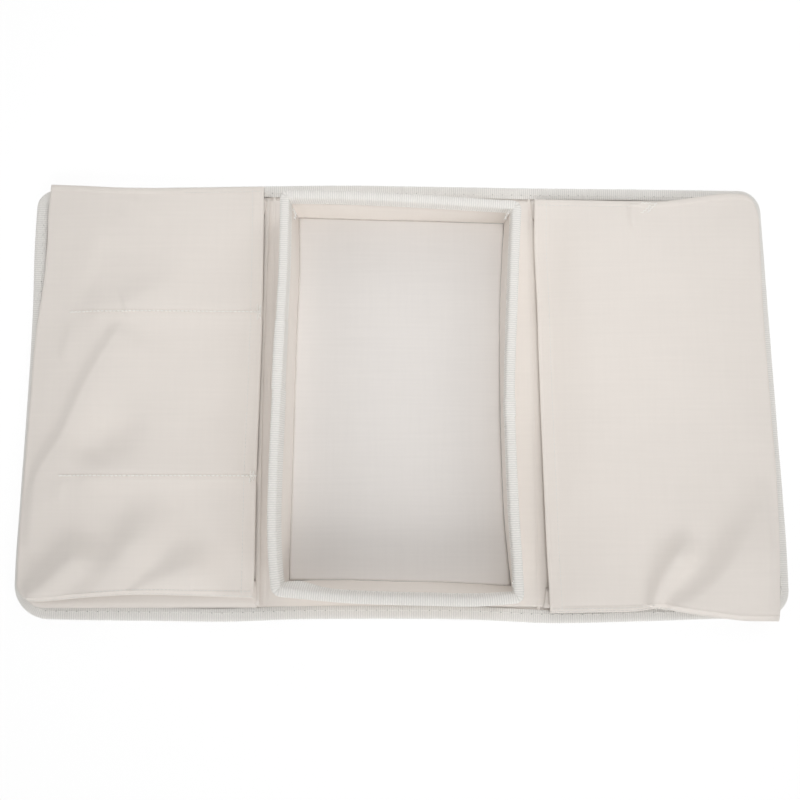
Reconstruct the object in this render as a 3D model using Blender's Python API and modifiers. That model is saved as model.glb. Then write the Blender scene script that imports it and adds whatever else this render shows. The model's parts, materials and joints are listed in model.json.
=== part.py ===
"""A fabric organizer that lies over a sofa's armrest.

A flat mat of three board-stiffened panels is bound all round with grosgrain tape. The middle
panel carries a tray with padded walls. The two outer panels are flaps that fold down beside the
arm on sewn fold lines, and each has a pocket whose mouth faces the tray.

Lengths are in metres and +Z is up. The mat's underside is at z = 0, its long side runs along X,
and the pieces of the +X flap mirror those of the -X flap unless a size says otherwise.
"""

import math

import bmesh
import bpy
from mathutils import Vector

# Sizes of the mat
MAT_LENGTH = 0.600
MAT_WIDTH = 0.350
MAT_CORNER_RADIUS = 0.019
FOLD_X = 0.1055

# Materials by thickness
COVER_CLOTH = 0.0006
POCKET_CLOTH = 0.0005
TAPE = 0.0008
MAT_BOARD = 0.0020
FLOOR_BOARD = 0.0020
CLEARANCE = 0.0003
SHARP_RADIUS = 0.0004

# Edge binding and the pinched seams beside it
BINDING_WIDTH = 0.0092
BINDING_BEND_RADIUS = 0.0012
SEAM_SLOPE_WIDTH = 0.0044
BOARD_MARGIN = 0.0008

# Fold lines
FOLD_ROLL_RADIUS = 0.0015
FOLD_PINCH_WIDTH = 0.0020
FOLD_SLOPE_WIDTH = 0.0040
FOLD_END_INSET = 0.0006

# Tray
TRAY_LENGTH = 0.293
TRAY_WIDTH = 0.169
TRAY_WALL_HEIGHT = 0.036
TRAY_WALL_THICKNESS = 0.0062
TRAY_LEAN_LEFT = 0.0060
TRAY_LEAN_RIGHT = -0.0010
TRAY_LEAN_FAR = 0.0015
TRAY_LEAN_NEAR = 0.0045
TRAY_CORNER_CHAMFER = 0.0025
TRAY_RIM_DEPTH = 0.0095
CORNER_SEAM_RADIUS = 0.0008
CORNER_SEAM_PLACE_SHARE = 0.62

# Pockets
POCKET_MOUTH_FROM_FOLD = 0.0070
POCKET_OUTER_INSET = 0.0045
POCKET_WIDTH = 0.331
LEFT_POCKET_SHIFT = 0.0085
RIGHT_POCKET_SHIFT = -0.0045
POCKET_STAND = 0.0050
POCKET_CORNER_RADIUS = 0.0030
POCKET_CROWN = 0.0024
POCKET_RISE_LENGTH = 0.030
HEM_WIDTH = 0.0100
HEM_BEND_RADIUS = 0.00045
HEM_TAPER = 0.0080
GUSSET_FOOT_INSET = 0.0060
GUSSET_TOP_INSET = 0.0010
GUSSET_PLEAT_DEPTH = 0.0180
GUSSET_APEX_SHARE = 1.2

# The left pocket's dividing seams and back panel
FAR_DIVIDER_Y = 0.0680
NEAR_DIVIDER_Y = -0.0635
DIVIDER_START = 0.0340
DIVIDER_VALLEY_HALF_WIDTH = 0.0220
DIVIDER_THREAD_RADIUS = 0.0003
BARTACK_LENGTH = 0.0060
BARTACK_WIDEN_SHARE = 2.2
BACK_PANEL_MOUTH_FROM_FOLD = 0.0035

# Thread tacks on the right pocket's edges
TACK_X = 0.1910
TACK_LENGTH = 0.0120
TACK_WIDTH = 0.0024
TACK_THICKNESS = 0.0006
TACK_EDGE_INSET = 0.0035

# Counts
ARC_STEPS = 5
BEND_STEPS = 3
HEM_STEPS = 3
PANEL_RISE_STATION_SHARES = (0.0, 0.03, 0.07, 0.32, 0.52, 0.72)
VALLEY_STATION_SHARES = (0.22, 0.48, 0.74, 1.0)
EDGE_STATION_SHARES = (0.03, 0.10)
PLAIN_STATION_SHARES = (0.0, 0.03, 0.10, 0.22, 0.36, 0.5, 0.64, 0.78, 0.90, 0.97, 1.0)

# Levels worked out from the thicknesses
BOARD_Z = COVER_CLOTH + CLEARANCE
TOP_COVER_Z = BOARD_Z + MAT_BOARD + CLEARANCE
MAT_TOP_Z = TOP_COVER_Z + COVER_CLOTH
SEAM_BACK_Z = TAPE + CLEARANCE
SEAM_TOP_Z = SEAM_BACK_Z + COVER_CLOTH + CLEARANCE
BINDING_TOP_Z = SEAM_TOP_Z + COVER_CLOTH + CLEARANCE + TAPE
FOLD_Z = BINDING_TOP_Z / 2
FOLD_CLOTH_GAP = FOLD_ROLL_RADIUS + CLEARANCE
FOLD_TAPE_GAP = FOLD_Z + CLEARANCE
SEAM_INSET = TAPE + CLEARANCE
PINCH_INSET = BINDING_WIDTH + 2 * CLEARANCE
FLAT_INSET = PINCH_INSET + SEAM_SLOPE_WIDTH
FOLD_PINCH_INSET = FOLD_CLOTH_GAP + FOLD_PINCH_WIDTH
FOLD_FLAT_INSET = FOLD_PINCH_INSET + FOLD_SLOPE_WIDTH

TRAY_BASE_Z = MAT_TOP_Z + CLEARANCE
TRAY_WALL_TOP_Z = TRAY_BASE_Z + TRAY_WALL_HEIGHT
TRAY_RIM_BEND_RADIUS = TAPE + 2 * CLEARANCE

BACK_PANEL_Z = MAT_TOP_Z + CLEARANCE
BACK_PANEL_TOP_Z = BACK_PANEL_Z + POCKET_CLOTH
GUSSET_FOOT_Z = BINDING_TOP_Z + CLEARANCE
GUSSET_TOP_Z = GUSSET_FOOT_Z + POCKET_STAND
PANEL_EDGE_Z = GUSSET_TOP_Z + CLEARANCE + POCKET_CLOTH / 2
DIVIDER_Z = BACK_PANEL_TOP_Z + CLEARANCE + POCKET_CLOTH / 2
GUSSET_APEX_INSET = GUSSET_FOOT_INSET + GUSSET_PLEAT_DEPTH
GUSSET_LEG_RISE = POCKET_STAND / 2 - POCKET_CLOTH * GUSSET_APEX_SHARE
GUSSET_SLOPE = GUSSET_LEG_RISE / GUSSET_PLEAT_DEPTH
GUSSET_CLEAR_INSET = GUSSET_FOOT_INSET + (BACK_PANEL_TOP_Z + 2 * CLEARANCE - GUSSET_FOOT_Z) / GUSSET_SLOPE
BACK_PANEL_INSET = max(FLAT_INSET + BOARD_MARGIN, GUSSET_CLEAR_INSET)
HEM_DROP = 2 * HEM_BEND_RADIUS
POCKET_MOUTH_X = FOLD_X + POCKET_MOUTH_FROM_FOLD
POCKET_OUTER_X = MAT_LENGTH / 2 - POCKET_OUTER_INSET

LEFT = -1
CENTRE = 0
RIGHT = 1
SIDE_NAMES = {LEFT: "left", RIGHT: "right"}

CLOTH_COLOUR = (0.761, 0.708, 0.658)
FLOOR_CLOTH_COLOUR = (0.745, 0.723, 0.680)
TAPE_COLOUR = (0.758, 0.758, 0.723)
THREAD_COLOUR = (0.800, 0.760, 0.700)
BOARD_COLOUR = (0.550, 0.540, 0.520)


def clear_scene():
    """Removes whatever the scene holds."""
    for thing in list(bpy.data.objects):
        bpy.data.objects.remove(thing)


def make_material(name, colour, roughness):
    """A plain non-metal finish."""
    material = bpy.data.materials.new(name)
    material.use_nodes = True
    shader = material.node_tree.nodes["Principled BSDF"]
    shader.inputs["Base Color"].default_value = (*colour, 1.0)
    shader.inputs["Roughness"].default_value = roughness
    shader.inputs["Metallic"].default_value = 0.0
    return material


class Assembly:
    """Holds the collection, the finishes and the empties that the pieces belong to."""

    def __init__(self):
        self.collection = bpy.data.collections.new("sofa_armrest_organizer")
        bpy.context.scene.collection.children.link(self.collection)
        self.cloth = make_material("pocket_cloth", CLOTH_COLOUR, 0.9)
        self.floor_cloth = make_material("tray_floor_cloth", FLOOR_CLOTH_COLOUR, 0.9)
        self.tape = make_material("grosgrain_tape", TAPE_COLOUR, 0.75)
        self.thread = make_material("sewing_thread", THREAD_COLOUR, 0.6)
        self.board = make_material("stiffener_board", BOARD_COLOUR, 0.5)
        self.axes = {CENTRE: None}
        for side in (LEFT, RIGHT):
            axis = bpy.data.objects.new(SIDE_NAMES[side] + "_fold_axis", None)
            axis.location = (side * FOLD_X, 0, FOLD_Z)
            self.collection.objects.link(axis)
            self.axes[side] = axis

    def add(self, name, data, material, side=CENTRE):
        """Adds a piece whose data is in world coordinates, under the fold axis that it turns on."""
        data.materials.clear()
        data.materials.append(material)
        piece = bpy.data.objects.new(name, data)
        self.collection.objects.link(piece)
        axis = self.axes[side]
        if axis is not None:
            piece.parent = axis
            piece.location = -Vector(axis.location)
        return piece


def skin(name, loops, joined=False):
    """A closed mesh over closed loops of equally many points. The ends are capped, or joined."""
    mesh = bmesh.new()
    rows = [[mesh.verts.new(point) for point in loop] for loop in loops]
    pairs = list(zip(rows, rows[1:]))
    if joined:
        pairs.append((rows[-1], rows[0]))
    else:
        mesh.faces.new(rows[0])
        mesh.faces.new(rows[-1])
    for low, high in pairs:
        for index in range(len(low)):
            after = (index + 1) % len(low)
            mesh.faces.new((low[index], low[after], high[after], high[index]))
    bmesh.ops.recalc_face_normals(mesh, faces=mesh.faces)
    data = bpy.data.meshes.new(name)
    mesh.to_mesh(data)
    mesh.free()
    return data


def swept(name, paths):
    """A closed mesh over open paths, one for each point of a closed section."""
    return skin(name, [list(section) for section in zip(*paths)])


def rod(name, points, radius, widths=None, resolution=2):
    """A tube along points. widths scales its radius at each point."""
    curve = bpy.data.curves.new(name, "CURVE")
    curve.dimensions = "3D"
    curve.bevel_depth = radius
    curve.bevel_resolution = resolution
    curve.use_fill_caps = True
    spline = curve.splines.new("POLY")
    spline.points.add(len(points) - 1)
    for index, point in enumerate(points):
        spline.points[index].co = (*point, 1.0)
        spline.points[index].radius = widths[index] if widths else 1.0
    return curve


def corner(x, y, toward_x, toward_y, radius, start):
    """The points of a quarter-circle corner, counter-clockwise from the start angle."""
    centre_x = x - toward_x * radius
    centre_y = y - toward_y * radius
    points = []
    for step in range(ARC_STEPS + 1):
        angle = math.radians(start + 90 * step / ARC_STEPS)
        points.append((centre_x + radius * math.cos(angle), centre_y + radius * math.sin(angle)))
    return points


def ring(low, high, z, near_radii, far_radii):
    """A level rectangle with round corners. Radii are (low x, high x) on the near and far sides."""
    points = corner(high[0], low[1], 1, -1, near_radii[1], 270)
    points += corner(high[0], high[1], 1, 1, far_radii[1], 0)
    points += corner(low[0], high[1], -1, 1, far_radii[0], 90)
    points += corner(low[0], low[1], -1, -1, near_radii[0], 180)
    return [(x, y, z) for x, y in points]


def panel_ring(side, inset, fold_inset, z):
    """The outline of one of the mat's three panels, drawn in from its edges and its fold lines."""
    half_width = MAT_WIDTH / 2 - inset
    if side == CENTRE:
        half_length = FOLD_X - fold_inset
        sharp = (SHARP_RADIUS, SHARP_RADIUS)
        return ring((-half_length, -half_width), (half_length, half_width), z, sharp, sharp)
    radii = (SHARP_RADIUS, max(MAT_CORNER_RADIUS - inset, SHARP_RADIUS))
    low = (FOLD_X + fold_inset, -half_width)
    high = (MAT_LENGTH / 2 - inset, half_width)
    return [(side * x, y, level) for x, y, level in ring(low, high, z, radii, radii)]


def cover(name, side, seam_z, flat_z):
    """A panel's cloth: flat in the middle, and drawn to the middle of the edge at its seams."""
    rings = [
        panel_ring(side, FLAT_INSET, FOLD_FLAT_INSET, flat_z),
        panel_ring(side, PINCH_INSET, FOLD_PINCH_INSET, seam_z),
        panel_ring(side, SEAM_INSET, FOLD_CLOTH_GAP, seam_z),
        panel_ring(side, SEAM_INSET, FOLD_CLOTH_GAP, seam_z + COVER_CLOTH),
        panel_ring(side, PINCH_INSET, FOLD_PINCH_INSET, seam_z + COVER_CLOTH),
        panel_ring(side, FLAT_INSET, FOLD_FLAT_INSET, flat_z + COVER_CLOTH),
    ]
    return skin(name, rings)


def mat_board(name, side):
    """The stiffener between a panel's two covers."""
    inset = FLAT_INSET + BOARD_MARGIN
    fold_inset = FOLD_FLAT_INSET + BOARD_MARGIN
    low = panel_ring(side, inset, fold_inset, BOARD_Z)
    high = panel_ring(side, inset, fold_inset, BOARD_Z + MAT_BOARD)
    return skin(name, [low, high])


def bend(centre, radius, start, sweep):
    """Points of a bend in a section, as (inset, height)."""
    points = []
    for step in range(BEND_STEPS + 1):
        angle = math.radians(start + sweep * step / BEND_STEPS)
        points.append((centre[0] + radius * math.cos(angle), centre[1] + radius * math.sin(angle)))
    return points


def binding_section():
    """The folded tape, as (inset from the mat's edge, height): round outside, then back inside."""
    outer = BINDING_BEND_RADIUS
    inner = BINDING_BEND_RADIUS - TAPE
    low = (outer, outer)
    high = (outer, BINDING_TOP_Z - outer)
    section = [(BINDING_WIDTH, 0.0)]
    section += bend(low, outer, 270, -90)
    section += bend(high, outer, 180, -90)
    section += [(BINDING_WIDTH, BINDING_TOP_Z), (BINDING_WIDTH, BINDING_TOP_Z - TAPE)]
    section += bend(high, inner, 90, 90)
    section += bend(low, inner, 180, 90)
    section += [(BINDING_WIDTH, TAPE)]
    return section


def flap_path(side, inset, z, start_x, shape):
    """An open path along a flap's near, outer and far edges. shape is (outer x, near y, far y, radius)."""
    outer_x, near_y, far_y, radius = shape
    radius = max(radius - inset, SHARP_RADIUS)
    points = [(start_x, near_y + inset)]
    points += corner(outer_x - inset, near_y + inset, 1, -1, radius, 270)
    points += corner(outer_x - inset, far_y - inset, 1, 1, radius, 0)
    points += [(start_x, far_y - inset)]
    return [(side * x, y, z) for x, y in points]


def flap_binding(name, side):
    """The tape round a flap's three free edges."""
    shape = (MAT_LENGTH / 2, -MAT_WIDTH / 2, MAT_WIDTH / 2, MAT_CORNER_RADIUS)
    start_x = FOLD_X + FOLD_TAPE_GAP
    return swept(name, [flap_path(side, inset, z, start_x, shape) for inset, z in binding_section()])


def centre_binding(name, toward_y):
    """The tape along the middle panel's far or near edge."""
    end_x = FOLD_X - FOLD_TAPE_GAP
    edge_y = MAT_WIDTH / 2
    paths = []
    for inset, z in binding_section():
        y = toward_y * (edge_y - inset)
        paths.append([(-end_x, y, z), (end_x, y, z)])
    return swept(name, paths)


def fold_seam(name, side):
    """The soft ridge of cloth that is sewn together along a fold line, and that the flap turns on."""
    end_y = MAT_WIDTH / 2 - FOLD_END_INSET
    points = [(side * FOLD_X, -end_y, FOLD_Z), (side * FOLD_X, end_y, FOLD_Z)]
    return rod(name, points, FOLD_ROLL_RADIUS, resolution=3)


def tray_extent(z, offset):
    """(low corner, high corner) of the tray's inner outline at a height, moved out by an offset."""
    rise = (z - TRAY_BASE_Z) / TRAY_WALL_HEIGHT
    low = (
        -(TRAY_WIDTH / 2 + TRAY_LEAN_LEFT * rise + offset),
        -(TRAY_LENGTH / 2 + TRAY_LEAN_NEAR * rise + offset),
    )
    high = (
        TRAY_WIDTH / 2 + TRAY_LEAN_RIGHT * rise + offset,
        TRAY_LENGTH / 2 + TRAY_LEAN_FAR * rise + offset,
    )
    return low, high


def wall_loop(wall, z, inset):
    """The four plan corners of a tray wall at a height, drawn in on every side."""
    slant = (TRAY_WALL_THICKNESS - TRAY_CORNER_CHAMFER + CLEARANCE) / TRAY_WALL_THICKNESS
    end_inset = CLEARANCE + inset * math.sqrt(1 + slant * slant)
    inner_low, inner_high = tray_extent(z, 0)
    points = []
    for offset in (inset, TRAY_WALL_THICKNESS - inset):
        low, high = tray_extent(z, offset)
        reach = offset * slant - end_inset
        x_ends = (inner_low[0] - reach, inner_high[0] + reach)
        y_ends = (inner_low[1] - reach, inner_high[1] + reach)
        if wall in ("left", "right"):
            x = low[0] if wall == "left" else high[0]
            edge = [(x, y_ends[0], z), (x, y_ends[1], z)]
        else:
            y = low[1] if wall == "near" else high[1]
            edge = [(x_ends[0], y, z), (x_ends[1], y, z)]
        points += edge if not points else edge[::-1]
    return points


def wall_cover(name, wall):
    """A wall's cloth sleeve, open at the top, where the rim tape closes it."""
    inner_z = TRAY_BASE_Z + COVER_CLOTH
    loops = [
        wall_loop(wall, TRAY_BASE_Z, 0),
        wall_loop(wall, TRAY_WALL_TOP_Z, 0),
        wall_loop(wall, TRAY_WALL_TOP_Z, COVER_CLOTH),
        wall_loop(wall, inner_z, COVER_CLOTH),
    ]
    return skin(name, loops)


def wall_board(name, wall):
    """The stiff foam board inside a wall's sleeve."""
    inset = COVER_CLOTH + CLEARANCE
    return skin(name, [wall_loop(wall, TRAY_BASE_Z + inset, inset), wall_loop(wall, TRAY_WALL_TOP_Z, inset)])


def rim_section():
    """The rim tape over a wall's top, as (offset from the wall's inner face, height)."""
    gap = CLEARANCE
    top = TRAY_WALL_TOP_Z + CLEARANCE + TAPE
    foot = TRAY_WALL_TOP_Z - TRAY_RIM_DEPTH
    outer = TRAY_RIM_BEND_RADIUS
    inner = TRAY_RIM_BEND_RADIUS - TAPE
    low_side = -(gap + TAPE)
    high_side = TRAY_WALL_THICKNESS + gap + TAPE
    low = (low_side + outer, top - outer)
    high = (high_side - outer, top - outer)
    section = [(low_side, foot)]
    section += bend(low, outer, 180, -90)
    section += bend(high, outer, 90, -90)
    section += [(high_side, foot), (high_side - TAPE, foot)]
    section += bend(high, inner, 0, 90)
    section += bend(low, inner, 90, 90)
    section += [(low_side + TAPE, foot)]
    return section


def rim_binding(name):
    """The tape round the top of the tray's four walls."""
    rings = []
    for offset, z in rim_section():
        low, high = tray_extent(z, offset)
        radius = max(TRAY_CORNER_CHAMFER + offset - TRAY_WALL_THICKNESS, SHARP_RADIUS)
        rings.append(ring(low, high, z, (radius, radius), (radius, radius)))
    return skin(name, rings, joined=True)


def corner_seam(name, toward_x, toward_y):
    """The corded seam that joins two walls, from the mat up to the rim."""
    offset = CORNER_SEAM_PLACE_SHARE * TRAY_WALL_THICKNESS
    points = []
    for z in (TRAY_BASE_Z, TRAY_WALL_TOP_Z):
        low, high = tray_extent(z, offset)
        points.append((high[0] if toward_x > 0 else low[0], high[1] if toward_y > 0 else low[1], z))
    return rod(name, points, CORNER_SEAM_RADIUS)


def tray_rectangle(z, inset):
    """A sharp-cornered level outline inside the tray's walls."""
    low, high = tray_extent(TRAY_BASE_Z, -inset)
    sharp = (SHARP_RADIUS, SHARP_RADIUS)
    return ring(low, high, z, sharp, sharp)


def floor_cover(name):
    """The floor's cloth, turned down round its board."""
    ceiling = TRAY_BASE_Z + FLOOR_BOARD + CLEARANCE
    inner = CLEARANCE + COVER_CLOTH
    loops = [
        tray_rectangle(ceiling, inner),
        tray_rectangle(TRAY_BASE_Z, inner),
        tray_rectangle(TRAY_BASE_Z, CLEARANCE),
        tray_rectangle(ceiling + COVER_CLOTH, CLEARANCE),
    ]
    return skin(name, loops)


def floor_board(name):
    """The board under the tray's floor cloth."""
    inset = CLEARANCE + COVER_CLOTH + CLEARANCE
    return skin(name, [tray_rectangle(TRAY_BASE_Z, inset), tray_rectangle(TRAY_BASE_Z + FLOOR_BOARD, inset)])


def ease(share):
    """A smooth step from 0 to 1."""
    share = min(max(share, 0.0), 1.0)
    return share * share * (3 - 2 * share)


class Pocket:
    """One flap's pocket: a crowned front panel over a pleated gusset, open towards the tray."""

    def __init__(self, side, shift, dividers):
        self.side = side
        self.near_y = shift - POCKET_WIDTH / 2
        self.far_y = shift + POCKET_WIDTH / 2
        self.dividers = dividers
        self.divider_x = POCKET_OUTER_X - DIVIDER_START
        self.valley_x = (MAT_LENGTH / 2 + POCKET_OUTER_X) / 2 - GUSSET_APEX_INSET - POCKET_CLOTH - CLEARANCE

    def height(self, x, y):
        """The middle of the front panel's cloth at a place, x measured outwards."""
        rise = math.sin(math.pi / 2 * min((POCKET_OUTER_X - x) / POCKET_RISE_LENGTH, 1.0))
        across = (2 * y - self.near_y - self.far_y) / POCKET_WIDTH
        height = PANEL_EDGE_Z + POCKET_CROWN * rise * (1 - across ** 4)
        sewn = ease((self.valley_x - x) / (self.valley_x - self.divider_x))
        for divider_y in self.dividers:
            near = 1 - ease(abs(y - divider_y) / DIVIDER_VALLEY_HALF_WIDTH)
            height += (DIVIDER_Z - height) * near * sewn
        hem_end = POCKET_MOUTH_X + HEM_WIDTH
        return height + HEM_DROP * (1 - ease((x - hem_end) / HEM_TAPER))

    def stations_y(self):
        """Where the front panel's rows run, close together at the edges and dividing seams."""
        if not self.dividers:
            return [self.near_y + share * POCKET_WIDTH for share in PLAIN_STATION_SHARES]
        rows = {self.near_y, self.far_y}
        for share in EDGE_STATION_SHARES:
            rows.add(self.near_y + share * POCKET_WIDTH)
            rows.add(self.far_y - share * POCKET_WIDTH)
        for divider_y in self.dividers:
            rows.add(divider_y)
            for share in VALLEY_STATION_SHARES:
                rows.add(divider_y - share * DIVIDER_VALLEY_HALF_WIDTH)
                rows.add(divider_y + share * DIVIDER_VALLEY_HALF_WIDTH)
        rows.add(sum(self.dividers) / len(self.dividers))
        return sorted(rows)

    def stations_x(self):
        """The front panel's columns, from its outer edge to its mouth."""
        length = POCKET_OUTER_X - POCKET_MOUTH_X
        columns = {POCKET_OUTER_X - share * length for share in PANEL_RISE_STATION_SHARES}
        columns |= {self.valley_x, (self.valley_x + self.divider_x) / 2, self.divider_x}
        columns |= {POCKET_MOUTH_X + HEM_WIDTH + HEM_TAPER, POCKET_MOUTH_X + HEM_WIDTH}
        columns.add(POCKET_MOUTH_X + HEM_BEND_RADIUS)
        return sorted(columns, reverse=True)

    def front(self, name):
        """The front panel, whose mouth edge is turned under as a hem."""
        columns = [(x, 0.0) for x in self.stations_x()]
        bend_x = POCKET_MOUTH_X + HEM_BEND_RADIUS
        for step in range(1, HEM_STEPS + 1):
            angle = math.pi * step / HEM_STEPS
            x = bend_x - HEM_BEND_RADIUS * math.sin(angle)
            columns.append((x, HEM_BEND_RADIUS * (1 - math.cos(angle))))
        columns.append((POCKET_MOUTH_X + HEM_WIDTH, HEM_DROP))
        rows = self.stations_y()
        mesh = bmesh.new()
        bmesh.ops.create_grid(mesh, x_segments=len(columns) - 1, y_segments=len(rows) - 1, size=0.5)
        for vert in mesh.verts:
            x, drop = columns[round((vert.co.x + 0.5) * (len(columns) - 1))]
            y = rows[round((vert.co.y + 0.5) * (len(rows) - 1))]
            vert.co = (self.side * x, y, self.height(x, y) - drop)
        data = bpy.data.meshes.new(name)
        mesh.to_mesh(data)
        mesh.free()
        return data

    def gusset_section(self):
        """The pleated strip, as (inset, height, share of the way from the mat to the panel)."""
        middle = (GUSSET_FOOT_Z + GUSSET_TOP_Z) / 2
        fold = POCKET_CLOTH * GUSSET_APEX_SHARE
        apex = GUSSET_APEX_INSET
        return [
            (GUSSET_FOOT_INSET, GUSSET_FOOT_Z, 0.0),
            (apex, middle - fold, 0.5),
            (apex + POCKET_CLOTH, middle, 0.5),
            (apex, middle + fold, 0.5),
            (GUSSET_TOP_INSET, GUSSET_TOP_Z, 1.0),
            (GUSSET_TOP_INSET, GUSSET_TOP_Z - POCKET_CLOTH, 1.0),
            (apex - POCKET_CLOTH, middle, 0.5),
            (GUSSET_FOOT_INSET, GUSSET_FOOT_Z + POCKET_CLOTH, 0.0),
        ]

    def gusset(self, name):
        """The gusset round the pocket's three closed edges, folded inwards as one pleat."""
        half_width = MAT_WIDTH / 2
        mat_shape = (MAT_LENGTH / 2, -half_width, half_width, MAT_CORNER_RADIUS)
        panel_shape = (POCKET_OUTER_X, self.near_y, self.far_y, POCKET_CORNER_RADIUS)
        paths = []
        for inset, z, share in self.gusset_section():
            shape = [low + (high - low) * share for low, high in zip(mat_shape, panel_shape)]
            paths.append(flap_path(self.side, inset, z, POCKET_MOUTH_X, shape))
        return swept(name, paths)

    def divider_stitch(self, name, divider_y):
        """The thread along a dividing seam, with a bartack at the pocket's mouth."""
        seat = POCKET_CLOTH / 2 + CLEARANCE + DIVIDER_THREAD_RADIUS * BARTACK_WIDEN_SHARE
        end_x = POCKET_MOUTH_X + HEM_BEND_RADIUS
        columns = [x for x in self.stations_x() if end_x <= x <= self.divider_x]
        columns.append(end_x + BARTACK_LENGTH)
        columns = sorted(set(columns), reverse=True)
        points = [(self.side * x, divider_y, self.height(x, divider_y) + seat) for x in columns]
        widths = [BARTACK_WIDEN_SHARE if x <= end_x + BARTACK_LENGTH else 1.0 for x in columns]
        return rod(name, points, DIVIDER_THREAD_RADIUS, widths, resolution=1)

    def tack(self, name, toward_y):
        """A bar of thread that holds the panel's edge down, halfway along it."""
        edge_y = self.far_y if toward_y > 0 else self.near_y
        y = edge_y - toward_y * TACK_EDGE_INSET
        ends = [(TACK_X + end * TACK_LENGTH / 2, y) for end in (-1, 1)]
        seat = POCKET_CLOTH / 2 + CLEARANCE
        loops = []
        for x, place_y in ends:
            low_y = place_y - TACK_WIDTH / 2
            high_y = place_y + TACK_WIDTH / 2
            low_z = max(self.height(x, low_y), self.height(x, high_y)) + seat
            high_z = low_z + TACK_THICKNESS
            outline = ((low_y, low_z), (high_y, low_z), (high_y, high_z), (low_y, high_z))
            loops.append([(self.side * x, y, z) for y, z in outline])
        return skin(name, loops)


def thicken(piece, thickness):
    """Gives an open sheet its thickness, half on each side."""
    solidify = piece.modifiers.new("cloth", "SOLIDIFY")
    solidify.thickness = thickness
    solidify.offset = 0.0
    solidify.use_even_offset = True


def back_panel(name, side):
    """The cloth behind the left pocket, which its dividing seams are sewn to."""
    outer_x = MAT_LENGTH / 2 - BACK_PANEL_INSET
    half_width = MAT_WIDTH / 2 - BACK_PANEL_INSET
    radius = max(MAT_CORNER_RADIUS - BACK_PANEL_INSET, SHARP_RADIUS)
    radii = (SHARP_RADIUS, radius)
    low = (FOLD_X + BACK_PANEL_MOUTH_FROM_FOLD, -half_width)
    high = (outer_x, half_width)
    loops = []
    for z in (BACK_PANEL_Z, BACK_PANEL_TOP_Z):
        loops.append([(side * x, y, level) for x, y, level in ring(low, high, z, radii, radii)])
    return skin(name, loops)


def build_mat(assembly):
    """The three panels, their binding and the two fold seams."""
    for side, name in ((CENTRE, "centre"), (LEFT, "left_flap"), (RIGHT, "right_flap")):
        label = name + "_back_cover"
        assembly.add(label, cover(label, side, SEAM_BACK_Z, 0.0), assembly.cloth, side)
        label = name + "_board"
        assembly.add(label, mat_board(label, side), assembly.board, side)
        label = name + "_top_cover"
        assembly.add(label, cover(label, side, SEAM_TOP_Z, TOP_COVER_Z), assembly.cloth, side)
    for side in (LEFT, RIGHT):
        label = SIDE_NAMES[side] + "_flap_edge_binding"
        assembly.add(label, flap_binding(label, side), assembly.tape, side)
        label = SIDE_NAMES[side] + "_fold_seam"
        assembly.add(label, fold_seam(label, side), assembly.cloth)
    for label, toward_y in (("centre_edge_binding_far", 1), ("centre_edge_binding_near", -1)):
        assembly.add(label, centre_binding(label, toward_y), assembly.tape)


def build_tray(assembly):
    """The tray on the middle panel."""
    assembly.add("tray_floor_board", floor_board("tray_floor_board"), assembly.board)
    assembly.add("tray_floor_cover", floor_cover("tray_floor_cover"), assembly.floor_cloth)
    for wall in ("left", "right", "far", "near"):
        label = "tray_wall_cover_" + wall
        assembly.add(label, wall_cover(label, wall), assembly.cloth)
        label = "tray_wall_board_" + wall
        assembly.add(label, wall_board(label, wall), assembly.board)
    assembly.add("tray_rim_binding", rim_binding("tray_rim_binding"), assembly.tape)
    for x_name, toward_x in (("left", -1), ("right", 1)):
        for y_name, toward_y in (("near", -1), ("far", 1)):
            label = f"tray_corner_seam_{x_name}_{y_name}"
            assembly.add(label, corner_seam(label, toward_x, toward_y), assembly.thread)


def build_pocket(assembly, pocket):
    """A pocket's front panel and gusset."""
    name = SIDE_NAMES[pocket.side] + "_pocket"
    front = assembly.add(name + "_front", pocket.front(name + "_front"), assembly.cloth, pocket.side)
    thicken(front, POCKET_CLOTH)
    assembly.add(name + "_gusset", pocket.gusset(name + "_gusset"), assembly.cloth, pocket.side)


def build_pockets(assembly):
    """The divided left pocket and the plain right one, with their sewing."""
    left = Pocket(LEFT, LEFT_POCKET_SHIFT, (NEAR_DIVIDER_Y, FAR_DIVIDER_Y))
    right = Pocket(RIGHT, RIGHT_POCKET_SHIFT, ())
    build_pocket(assembly, left)
    build_pocket(assembly, right)
    label = "left_pocket_back_panel"
    assembly.add(label, back_panel(label, LEFT), assembly.cloth, LEFT)
    for end, divider_y, toward_y in (("far", FAR_DIVIDER_Y, 1), ("near", NEAR_DIVIDER_Y, -1)):
        label = "left_pocket_divider_seam_" + end
        assembly.add(label, left.divider_stitch(label, divider_y), assembly.thread, LEFT)
        label = "right_pocket_tack_" + end
        assembly.add(label, right.tack(label, toward_y), assembly.thread, RIGHT)


def main():
    """Builds the whole organizer."""
    clear_scene()
    assembly = Assembly()
    build_mat(assembly)
    build_tray(assembly)
    build_pockets(assembly)


main()
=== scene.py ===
"""Looks of a sofa armrest organizer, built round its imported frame.

The organizer is a bound mat with two fold lines. A padded tray stands on the middle panel, and each
flap carries a flat pleated pocket: the left one has two sewn dividers and the right one has none.
Lengths are metres in the frame's axes. Measured lines are written in millimetres.
"""

from __future__ import annotations

import json
import logging
import math
from collections.abc import Callable
from dataclasses import asdict, dataclass
from enum import Enum

import bpy
import numpy as np
from mathutils import Matrix, Vector


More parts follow.
